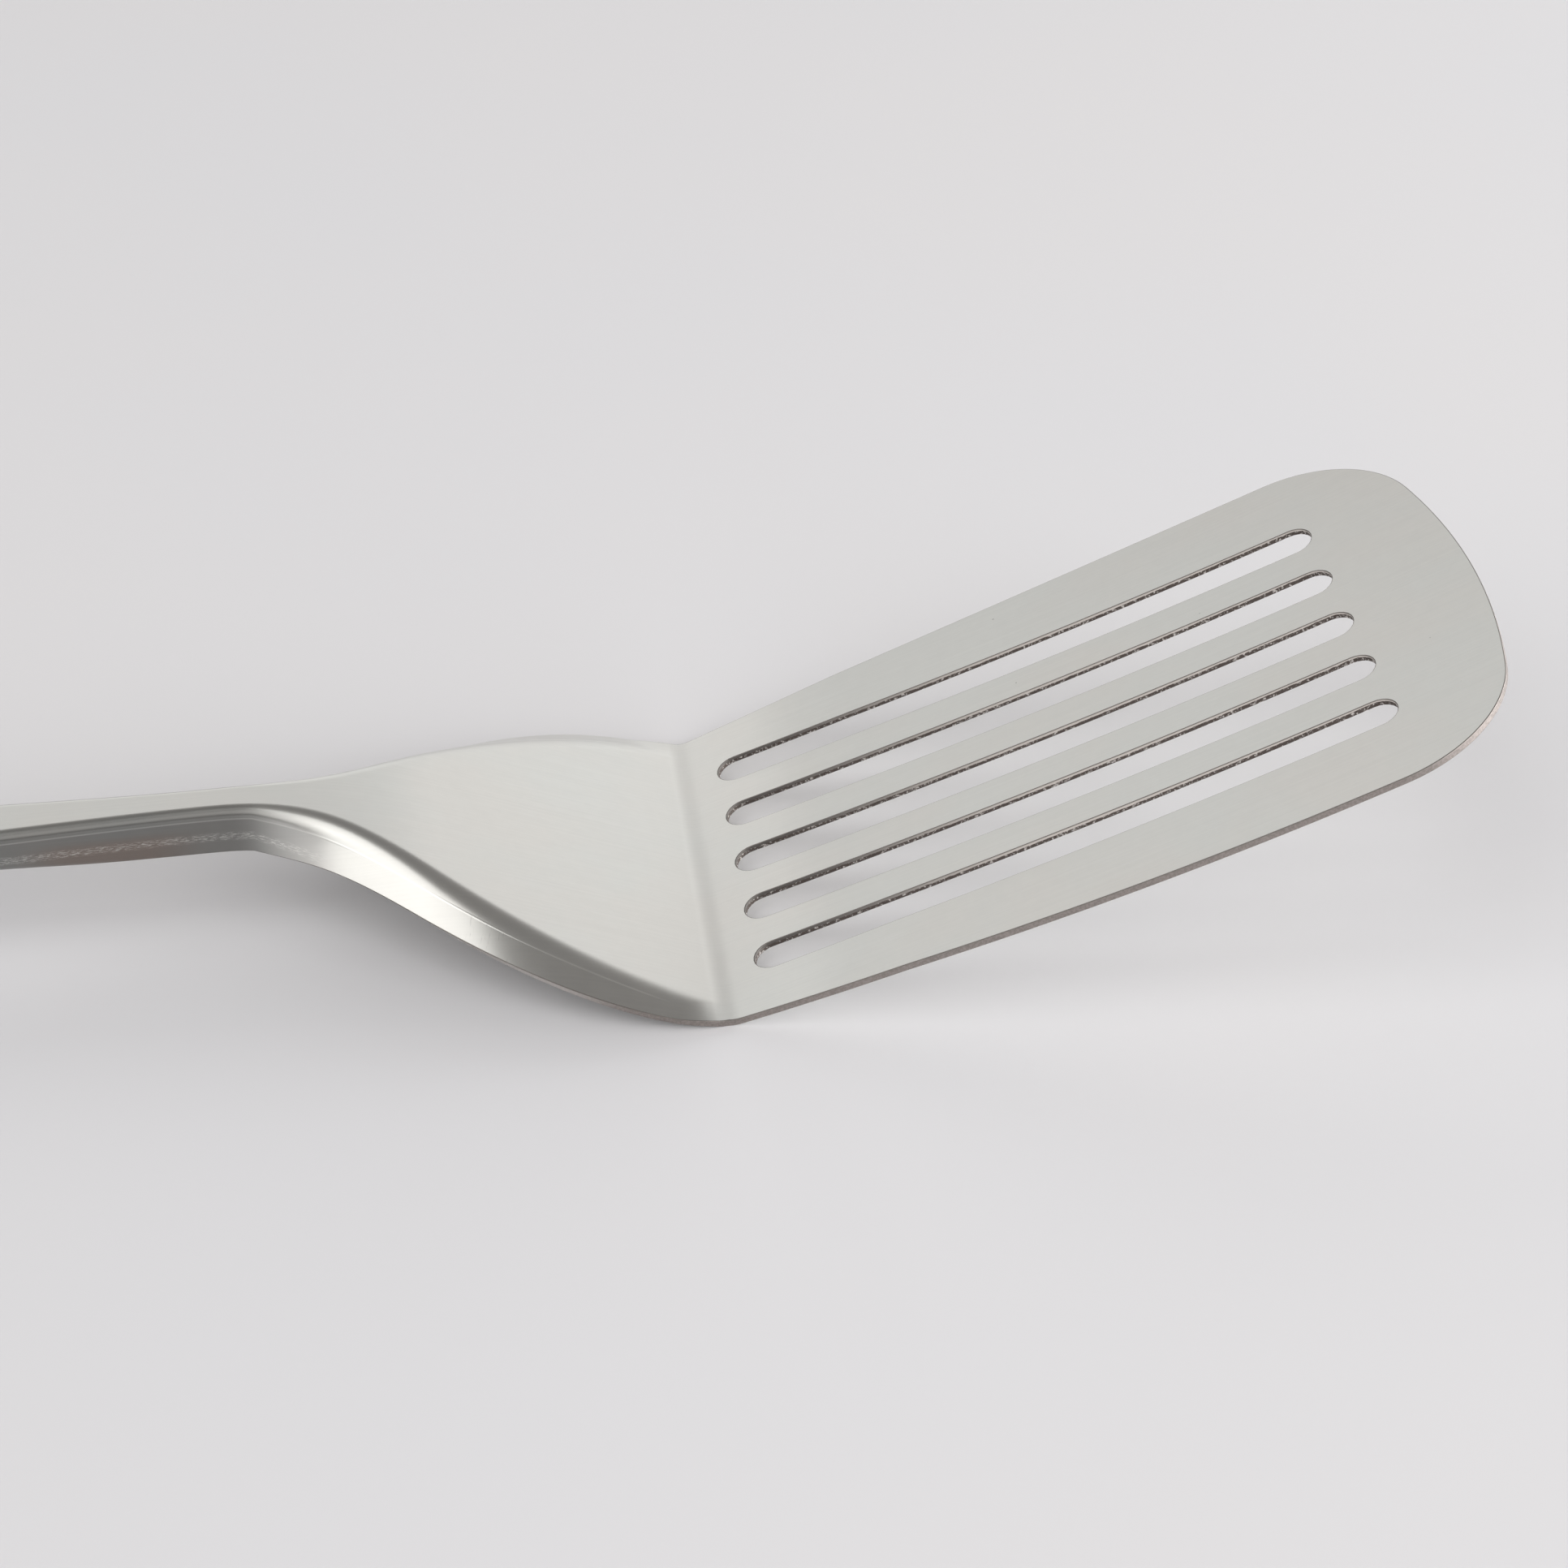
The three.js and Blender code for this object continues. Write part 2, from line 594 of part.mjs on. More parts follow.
// A tube that lines the hanging hole, flush with the grip above and below.
function hangingBush() {
	const inner = HANGING_HOLE_DIAMETER / 2;
	const tube = [[inner, -handleHalfDepth], [bushRadius, -handleHalfDepth], [bushRadius, handleHalfDepth],
		[inner, handleHalfDepth], [inner, -handleHalfDepth]];
	return turned(tube, holePlace);
}

// The roof of the tang is drilled for the rivets, in the handle's frame turned into the head's.
function drilledHead(solid) {
	const turn = new THREE.Matrix4().makeRotationY(-handle.fall).setPosition(handle.x, 0, handle.z);
	return rivetPlaces.reduce((drilled, x) => {
		const pin = uprightPin(rivetRadius + FIT_GAP, -handleHalfDepth, handleHalfDepth, x);
		return drilled.subtract(pin.transform(turn.toArray()));
	}, solid);
}

function handleGroup() {
	const group = new THREE.Group();
	const shells = handleShells();
	group.add(
		toMesh('handle_upper_shell', shells.upper, STEEL),
		toMesh('handle_lower_shell', shells.lower, STEEL),
		toMesh('handle_ferrule', ferrule(), STEEL),
		toMesh('tang_packing', tangPacking(), SHEARED_STEEL),
		toMesh('front_rivet', rivet(rivetPlaces[0]), STEEL),
		toMesh('rear_rivet', rivet(rivetPlaces[1]), STEEL),
		toMesh('hanging_bush', hangingBush(), STEEL),
	);
	group.position.set(handle.x, 0, handle.z);
	group.rotation.y = -handle.fall;
	return group;
}

// The part stands on the ground with its origin below the middle of its length.
function turner() {
	const part = new THREE.Group();
	part.add(toMesh('turner_head', drilledHead(turnerHead()), STEEL), handleGroup());
	part.updateMatrixWorld(true);
	const reach = new THREE.Box3().setFromObject(part, true);
	part.position.set(-(reach.min.x + reach.max.x) / 2, 0, -reach.min.z);
	return part;
}

export default turner();
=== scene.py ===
"""Slotted turner in satin stainless steel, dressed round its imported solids.

The turner's sizes are millimetres in the dataclasses and metres in the meshes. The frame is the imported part's
own: +X runs from the handle to the tip of the blade, +Y points away from the camera, +Z is up and the ground
is at z = 0.
"""

from __future__ import annotations

import logging
from dataclasses import dataclass, field
from enum import Enum
from functools import reduce
from math import acos, asin, atan2, cos, hypot, pi, radians, sin, sqrt
from typing import Any, NamedTuple

import bpy
import numpy as np
from mathutils import Matrix, Vector

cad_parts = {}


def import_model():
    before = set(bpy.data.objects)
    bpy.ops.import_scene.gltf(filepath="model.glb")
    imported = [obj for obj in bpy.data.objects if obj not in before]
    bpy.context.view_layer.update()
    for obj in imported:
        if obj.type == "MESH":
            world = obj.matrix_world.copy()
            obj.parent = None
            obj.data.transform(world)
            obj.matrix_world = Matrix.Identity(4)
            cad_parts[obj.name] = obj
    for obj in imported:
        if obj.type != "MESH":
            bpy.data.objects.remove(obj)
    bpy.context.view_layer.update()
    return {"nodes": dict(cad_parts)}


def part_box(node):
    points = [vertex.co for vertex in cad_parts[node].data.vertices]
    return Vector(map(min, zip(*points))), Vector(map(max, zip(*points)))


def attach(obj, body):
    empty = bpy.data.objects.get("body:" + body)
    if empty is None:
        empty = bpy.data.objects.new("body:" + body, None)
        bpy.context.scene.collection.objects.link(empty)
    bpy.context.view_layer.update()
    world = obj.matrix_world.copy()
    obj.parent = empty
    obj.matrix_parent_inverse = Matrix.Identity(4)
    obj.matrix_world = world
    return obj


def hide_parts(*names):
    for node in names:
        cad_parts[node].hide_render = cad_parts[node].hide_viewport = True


LOG = logging.getLogger("turner")
MM = 0.001
BODY = "root"
# Stands for the distance past the bend where the sheet is flat.
NO_BEND = -99.0
# Shortest length that a vector is divided by.
TINY = 1e-12
# Numbers of the colour sockets of a Mix node: two inputs and the result.
MIX_FIRST, MIX_SECOND, MIX_RESULT = 6, 7, 2

Array = np.ndarray
Triple = tuple[float, float, float]
Span = tuple[float, float]
Window = tuple[float, float, float, float]
Socket = bpy.types.NodeSocket


def even_steps(count: int) -> Array:
    """Values from 0 to 1 in that many even steps."""
    return np.linspace(0.0, 1.0, count + 1)


def quarter_turn(count: int) -> Array:
    """Angles from 0 to a right angle in that many even steps."""
    return np.linspace(0.0, np.pi / 2.0, count + 1)


def pairs(first: Array, second: Array) -> Array:
    """Two coordinates of each point, side by side."""
    return np.stack([first, second], axis=-1)


def ease(t: Array) -> Array:
    """Smooth step from 0 to 1: three t squared less two t cubed, held outside that range."""
    t = np.clip(t, 0.0, 1.0)
    return t * t * (3.0 - 2.0 * t)


def mix(low: Any, high: Any, t: Any) -> Any:
    """Straight line from low at t = 0 to high at t = 1."""
    return low + (high - low) * t


def unit(vectors: Array) -> Array:
    """Vectors along the last axis, each divided by its length."""
    return vectors / np.maximum(np.linalg.norm(vectors, axis=-1, keepdims=True), TINY)


class Patch(NamedTuple):
    """An open surface: points in mm, faces as rows of four corners, and named values at the points."""

    points: Array
    quads: Array
    values: dict[str, Array]


class Body(NamedTuple):
    """A closed mesh.

    It has points in mm, faces, a finish number for each face, and named values and normals at the points.
    """

    points: Array
    quads: Array
    finishes: Array
    values: dict[str, Array]
    normals: Array


def grid_quads(rows: int, columns: int, closed_rows: bool = False, closed_columns: bool = False) -> Array:
    """Corner numbers of every face of a grid of points stored row by row.

    Args:
        rows: number of rows of points.
        columns: number of points in a row.
        closed_rows: whether the last row joins the first.
        closed_columns: whether the last column joins the first.

    Returns:
        One row of four corner numbers for each face, which looks along row direction cross column direction.
    """
    row = np.arange(rows if closed_rows else rows - 1)[:, None]
    column = np.arange(columns if closed_columns else columns - 1)[None, :]
    next_row = (row + 1) % rows
    next_column = (column + 1) % columns
    corners = (
        row * columns + column,
        next_row * columns + column,
        next_row * columns + next_column,
        row * columns + next_column,
    )
    return np.stack([np.broadcast_to(c, (row.size, column.size)) for c in corners], axis=-1).reshape(-1, 4)


def weld(patch: Patch, grain: float = 1e-4) -> Patch:
    """Joins points that lie in the same place and leaves out points that no face uses.

    Args:
        patch: the surface before its points are joined.
        grain: side in mm of the small cells in which points count as one.

    Returns:
        The joined surface, without faces that have shrunk to a line.
    """
    keys = np.round(patch.points[patch.quads].reshape(-1, 3) / grain).astype(np.int64)
    _, first, back = np.unique(keys, axis=0, return_index=True, return_inverse=True)
    source = patch.quads.reshape(-1)[first]
    quads = back.reshape(-1, 4)
    area = (quads != np.roll(quads, -1, axis=1)).sum(axis=1) > 2
    return Patch(patch.points[source], quads[area], {k: v[source] for k, v in patch.values.items()})


def point_normals(points: Array, quads: Array) -> Array:
    """Normal at each point: the sum of the cross products of the diagonals of the faces round it.

    Args:
        points: places in mm.
        quads: faces as rows of four point numbers.

    Returns:
        One unit vector for each point.
    """
    corners = points[quads]
    across = np.cross(corners[:, 2] - corners[:, 0], corners[:, 3] - corners[:, 1])
    normals = np.zeros_like(points)
    for corner in range(4):
        np.add.at(normals, quads[:, corner], across)
    return unit(normals)


def open_edges(quads: Array, count: int) -> Array:
    """Directed edges that only one face has; edges of no length are left out.

    Args:
        quads: faces as rows of four point numbers.
        count: number of points.

    Returns:
        The edges as rows of two point numbers.
    """
    edges = np.concatenate([quads[:, [i, (i + 1) % 4]] for i in range(4)])
    edges = edges[edges[:, 0] != edges[:, 1]]
    forward = edges[:, 0] * count + edges[:, 1]
    backward = edges[:, 1] * count + edges[:, 0]
    return edges[~np.isin(forward, backward)]


def thicken(
    patch: Patch, thickness: float, lip: float, rim: int = 1, turns: int = 4, wall_rings: int = 3
) -> Body:
    """Gives a sheet its thickness, with rounded lips on its cut edges.

    The points are copied a thickness below along their normals. Round every open edge, rings step out along a
    quarter circle of radius lip, go straight down the cut and come back in along another quarter circle.

    Args:
        patch: top of the sheet, inset by the lip from the finished outline.
        thickness: thickness of the sheet.
        lip: radius of the rounded lips.
        rim: finish number of the cut edges; the sheet's two sides have finish 0.
        turns: steps in each quarter circle.
        wall_rings: rings on the straight of the cut.

    Returns:
        The closed sheet. Its value "depth" runs from 0 on top to 1 below.
    """
    points, quads, values = patch
    count = len(points)
    normals = point_normals(points, quads)
    edges = open_edges(quads, count)
    along = unit(points[edges[:, 1]] - points[edges[:, 0]])
    outward = np.zeros_like(points)
    for end in range(2):
        np.add.at(outward, edges[:, end], np.cross(along, normals[edges[:, end]]))
    rim_points = np.unique(edges)
    outward = unit(outward[rim_points])
    angle = quarter_turn(turns)[1:]
    down = lip * (1.0 - np.cos(angle))
    out = lip * np.sin(angle)
    middle = np.linspace(lip, thickness - lip, wall_rings + 2)[1:-1]
    depth = np.concatenate([down, middle, thickness - down[::-1]])
    reach = np.concatenate([out, np.full(middle.size, lip), out[::-1]])
    rings = points[rim_points] + reach[:, None, None] * outward - depth[:, None, None] * normals[rim_points]
    lean = np.concatenate([angle, np.full(middle.size, np.pi / 2.0), np.pi - angle[::-1]])[:, None, None]
    ring_normals = np.cos(lean) * normals[rim_points] + np.sin(lean) * outward
    place = np.full(count, -1)
    place[rim_points] = np.arange(rim_points.size)
    ladder = np.concatenate([
        edges[None],
        2 * count + np.arange(depth.size)[:, None, None] * rim_points.size + place[edges][None],
        edges[None] + count,
    ])
    upper, lower = ladder[:-1].reshape(-1, 2), ladder[1:].reshape(-1, 2)
    walls = np.stack([upper[:, 1], upper[:, 0], lower[:, 0], lower[:, 1]], axis=-1)
    all_points = np.concatenate([points, points - thickness * normals, rings.reshape(-1, 3)])
    all_quads = np.concatenate([quads, quads[:, ::-1] + count, walls])
    finishes = np.concatenate([np.zeros(2 * len(quads), int), np.full(len(walls), rim)])
    ring_of = np.tile(rim_points, depth.size)
    all_values = {k: np.concatenate([v, v, v[ring_of]]) for k, v in values.items()}
    shares = np.repeat(depth / thickness, rim_points.size)
    all_values["depth"] = np.concatenate([np.zeros(count), np.ones(count), shares])
    all_normals = np.concatenate([normals, -normals, ring_normals.reshape(-1, 3)])
    return Body(all_points, all_quads, finishes, all_values, all_normals)


def plain_body(points: Array, quads: Array, values: dict[str, Array]) -> Body:
    """A closed mesh with one finish, welded along its seams and at its poles.

    Args:
        points: places in mm.
        quads: faces as rows of four point numbers.
        values: named values at the points.

    Returns:
        The welded mesh.
    """
    patch = weld(Patch(points, quads, values))
    finishes = np.zeros(len(patch.quads), dtype=np.int32)
    return Body(patch.points, patch.quads, finishes, patch.values, point_normals(patch.points, patch.quads))


class Stretch(NamedTuple):
    """One line or arc of a side profile: its length and how far it turns."""

    length: float
    turn: float


def walk(heading: float, stretches: list[Stretch], distance: Array) -> tuple[Array, Array, Array]:
    """Position and heading after a distance along lines and arcs; an arc's chord is its run times a sinc.

    Args:
        heading: heading at the start, above the horizontal.
        stretches: the lines and arcs in order.
        distance: how far to go, for each point.

    Returns:
        Forward position, height and heading of each point.
    """
    x = np.zeros_like(distance)
    z = np.zeros_like(distance)
    turned = np.full_like(distance, heading)
    start = 0.0
    for stretch in stretches:
        run = np.clip(distance - start, 0.0, stretch.length)
        bend = stretch.turn * run / stretch.length
        chord = run * np.sinc(bend / (2.0 * np.pi))
        x = x + chord * np.cos(turned + bend / 2.0)
        z = z + chord * np.sin(turned + bend / 2.0)
        turned = turned + bend
        start += stretch.length
    return x, z, turned


class Section(NamedTuple):
    """Cross-section of the formed sheet: half width of the flat, then the turned edge beside it."""

    flat: Array
    fold: Array
    bend: Array
    edge: Array
    curl: Array


@dataclass(frozen=True)
class SheetForm:
    """Sizes of the pressed sheet that is blade, shoulder, shank and tang, as in the part's source."""

    sheet: float = 1.0
    blade_length: float = 116.0
    root_width: float = 67.8
    blade_flare: float = radians(6.2)
    side_radius: float = 860.0
    tip_radius: float = 112.0
    corner_radius: float = 18.9
    blade_rise: float = radians(19.2)
    bow_radius: float = 1175.0
    dish_depth: float = 0.8
    dish_run: float = 25.0
    slot_count: int = 5
    slot_width: float = 5.6
    slot_side_margin: float = 8.1
    slot_heel_margin: float = 5.1
    slot_tip_margin: float = 17.8
    shoulder_length: float = 55.0
    shoulder_fall: float = radians(20.8)
    heel_radius: float = 5.0
    neck_radius: float = 75.0
    shank_length: float = 80.0
    shank_fall: float = radians(1.9)
    shoulder_taper: float = radians(5.7)
    shoulder_radius: float = 57.7
    neck_blend: float = 10.9
    waist_distance: float = 70.0
    waist_flat: float = 1.0
    mouth_flat: float = 9.4
    fold_run: float = 65.0
    heel_fold: float = radians(15.7)
    heel_fold_run: float = 8.0
    neck_fold: float = radians(98.0)
    fold_power: float = 2.05
    heel_bend: float = 11.5
    neck_bend: float = 1.4
    bend_power: float = 1.1
    heel_edge: float = 4.0
    neck_edge: float = 8.4
    edge_power: int = 4
    curl_radius: float = 2.2
    curl: float = radians(80.0)
    curl_run: float = 50.0
    tang_length: float = 60.0

    @property
    def root_half(self) -> float:
        """Half the width of the blade at the crease."""
        return self.root_width / 2.0

    @property
    def slot_radius(self) -> float:
        """Radius of the round ends of a slot."""
        return self.slot_width / 2.0

    @property
    def slotted_half(self) -> float:
        """Half the width of the slotted middle of the blade."""
        return self.root_half - self.slot_side_margin

    @property
    def slot_pitch(self) -> float:
        """Distance between the middles of neighbouring slots."""
        return (2.0 * self.slotted_half - self.slot_width) / (self.slot_count - 1)

    @property
    def slot_from(self) -> float:
        """Distance from the crease to the centre of a slot's heel end."""
        return self.slot_heel_margin + self.slot_radius

    @property
    def slot_to(self) -> float:
        """Distance from the crease to the centre of a slot's tip end."""
        return self.blade_length - self.slot_tip_margin - self.slot_radius

    @property
    def heel_turn(self) -> float:
        """Angle that the sheet is bent through at the heel."""
        return self.shoulder_fall + self.blade_rise

    @property
    def heel_reach(self) -> float:
        """Half the length of the heel bend."""
        return self.heel_radius * self.heel_turn / 2.0

    @property
    def crease_heading(self) -> float:
        """Slope of the sheet in the middle of the heel bend."""
        return (self.blade_rise - self.shoulder_fall) / 2.0

    @property
    def crease_height(self) -> float:
        """Height of the top of the sheet at the crease, with the bend lying on the ground."""
        return self.heel_radius + self.sheet - self.heel_radius * cos(self.crease_heading)

    @property
    def mouth_distance(self) -> float:
        """Distance from the crease to the front of the ferrule."""
        return self.shoulder_length + self.shank_length

    def body_stretches(self, handle_fall: float) -> list[Stretch]:
        """Lines and arcs from the crease back to the end of the tang, which lies along the handle.

        Args:
            handle_fall: slope at which the handle falls toward its tail.

        Returns:
            The lines and arcs in order.
        """
        neck_turn = self.shoulder_fall + self.shank_fall
        neck_reach = self.neck_radius * neck_turn / 2.0
        return [
            Stretch(self.heel_reach, self.heel_turn / 2.0),
            Stretch(self.shoulder_length - self.heel_reach - neck_reach, 0.0),
            Stretch(2.0 * neck_reach, -neck_turn),
            Stretch(self.shank_length - neck_reach - self.sheet, 0.0),
            Stretch(self.sheet, self.shank_fall - handle_fall),
            Stretch(self.tang_length, 0.0),
        ]

    def profile(self, s: Array, handle_fall: float) -> tuple[Array, Array, Array]:
        """Top of the sheet on the centre line.

        Args:
            s: distance from the crease along the sheet, positive on the blade.
            handle_fall: slope at which the handle falls toward its tail.

        Returns:
            Forward position, height and slope of each point.
        """
        blade = [
            Stretch(self.heel_reach, self.heel_turn / 2.0),
            Stretch(self.blade_length, self.blade_length / self.bow_radius),
        ]
        ahead = walk(self.crease_heading, blade, np.maximum(s, 0.0))
        behind = walk(-self.crease_heading, self.body_stretches(handle_fall), np.maximum(-s, 0.0))
        front = s >= 0.0
        x = np.where(front, ahead[0], -behind[0])
        z = np.where(front, ahead[1], behind[1]) + self.crease_height
        return x, z, np.where(front, ahead[2], -behind[2])

    def section(self, distance: Array) -> Section:
        """Cross-section at a distance behind the crease.

        The bowed side of the shoulder's flat and the straight side of the shank's run into each other along a
        hyperbola, while the edge beside the flat turns down and grows toward the neck.

        Args:
            distance: how far behind the crease each cross-section lies.

        Returns:
            The cross-sections.
        """
        turned = np.clip(distance / self.fold_run, 0.0, 1.0)
        widen = (self.mouth_flat - self.waist_flat) / 2.0 / (self.mouth_distance - self.waist_distance)
        shank_root = self.waist_flat / 2.0 - self.waist_distance * widen
        lead = self.root_half - self.heel_edge - shank_root
        bow = distance * np.tan(self.shoulder_taper) + distance**2 / (2.0 * self.shoulder_radius)
        gap = lead - self.neck_blend**2 / (4.0 * lead) - bow - distance * widen
        heel_fold = self.heel_fold * ease(distance / self.heel_fold_run)
        return Section(
            flat=shank_root + distance * widen + (gap + np.hypot(gap, self.neck_blend)) / 2.0,
            fold=heel_fold + (self.neck_fold - self.heel_fold) * turned**self.fold_power,
            bend=mix(self.heel_bend, self.neck_bend, turned**self.bend_power),
            edge=mix(self.heel_edge, self.neck_edge, 1.0 - (1.0 - turned) ** self.edge_power),
            curl=self.curl * ease((distance - self.fold_run) / self.curl_run),
        )

    def edge_point(self, reach: Array, form: Section) -> tuple[Array, Array]:
        """A point on the turned edge: an arc, a straight wall and a second arc, walked along the sheet.

        Args:
            reach: distance along the sheet from the end of the flat.
            form: cross-section that the point lies in.

        Returns:
            Distance from the middle plane and drop below the flat.
        """
        bend_run = form.bend * form.fold
        wall_run = form.edge - bend_run - self.curl_radius * form.curl
        on_bend = np.clip(reach, 0.0, bend_run) / form.bend
        on_wall = np.clip(reach - bend_run, 0.0, wall_run)
        lean = on_bend + np.maximum(reach - bend_run - wall_run, 0.0) / self.curl_radius
        y = form.flat + np.minimum(reach, 0.0) + form.bend * np.sin(on_bend) + on_wall * np.cos(form.fold)
        y = y + self.curl_radius * (np.sin(lean) - np.sin(on_bend))
        drop = form.bend * (1.0 - np.cos(on_bend)) + on_wall * np.sin(form.fold)
        return y, drop + self.curl_radius * (np.cos(on_bend) - np.cos(lean))

    def dish(self, s: Array, y: Array) -> Array:
        """How far the blade's hollow lifts a point: a parabola across the blade that starts at the heel."""
        widest = Outline.of(self, 0.0).half_width(np.array(self.slot_to))
        return self.dish_depth * (y / widest) ** 2 * np.clip(s / self.dish_run, 0.0, 1.0)


@dataclass(frozen=True)
class Outline:
    """Half outline of the blade: an arc along the side, an arc round the corner and an arc over the tip."""

    side_centre: tuple[float, float]
    side_radius: float
    corner_centre: tuple[float, float]
    corner_radius: float
    tip_centre: float
    tip_radius: float
    side_angle: float
    tip_angle: float

    @classmethod
    def of(cls, form: SheetForm, inset: float) -> Outline:
        """Outline of a blade, drawn in by an inset; the corner's centre is where two offset arcs cross.

        Args:
            form: sizes of the sheet.
            inset: how far inside the finished edge the outline lies.

        Returns:
            The three arcs.
        """
        side = (
            form.side_radius * sin(form.blade_flare),
            form.root_half - form.side_radius * cos(form.blade_flare),
        )
        tip = form.blade_length - form.tip_radius
        from_side = form.side_radius - form.corner_radius
        from_tip = form.tip_radius - form.corner_radius
        apart = hypot(tip - side[0], side[1])
        toward = ((tip - side[0]) / apart, -side[1] / apart)
        along = (from_side**2 - from_tip**2 + apart**2) / (2.0 * apart)
        aside = sqrt(from_side**2 - along**2)
        corner = (
            side[0] + along * toward[0] + aside * toward[1],
            side[1] + along * toward[1] - aside * toward[0],
        )
        return cls(
            side_centre=side,
            side_radius=form.side_radius - inset,
            corner_centre=corner,
            corner_radius=form.corner_radius - inset,
            tip_centre=tip,
            tip_radius=form.tip_radius - inset,
            side_angle=atan2(corner[1] - side[1], corner[0] - side[0]),
            tip_angle=atan2(corner[1], corner[0] - tip),
        )

    def half_width(self, s: Array) -> Array:
        """Half width on the side arc."""
        return self.side_centre[1] + np.sqrt(self.side_radius**2 - (s - self.side_centre[0]) ** 2)

    def tip_at(self, y: Array) -> Array:
        """Where the tip lies: on the tip arc near the middle of the blade, and beyond that on the corner arc.

        Args:
            y: distance from the middle, on either side.

        Returns:
            How far along the blade each point of the tip is.
        """
        y = np.abs(y)
        tip = self.tip_centre + np.sqrt(np.maximum(self.tip_radius**2 - y**2, 0.0))
        bow = np.sqrt(np.maximum(self.corner_radius**2 - (y - self.corner_centre[1]) ** 2, 0.0))
        return np.where(y < self.tip_radius * sin(self.tip_angle), tip, self.corner_centre[0] + bow)

    def side_path(self, start: float, t: Array) -> Array:
        """Evenly spaced points along the side arc and halfway round the corner.

        Args:
            start: how far along the blade the path starts.
            t: share of the path behind each point.

        Returns:
            The points as (along, across).
        """
        first = acos((start - self.side_centre[0]) / self.side_radius)
        last = (self.side_angle + self.tip_angle) / 2.0
        side_run = self.side_radius * (first - self.side_angle)
        corner_run = self.corner_radius * (self.side_angle - last)
        run = t * (side_run + corner_run)
        on_side = first - np.minimum(run, side_run) / self.side_radius
        on_corner = self.side_angle - np.maximum(run - side_run, 0.0) / self.corner_radius
        side = pairs(np.cos(on_side), np.sin(on_side)) * self.side_radius + self.side_centre
        corner = pairs(np.cos(on_corner), np.sin(on_corner)) * self.corner_radius + self.corner_centre
        return np.where((run < side_run)[..., None], side, corner)


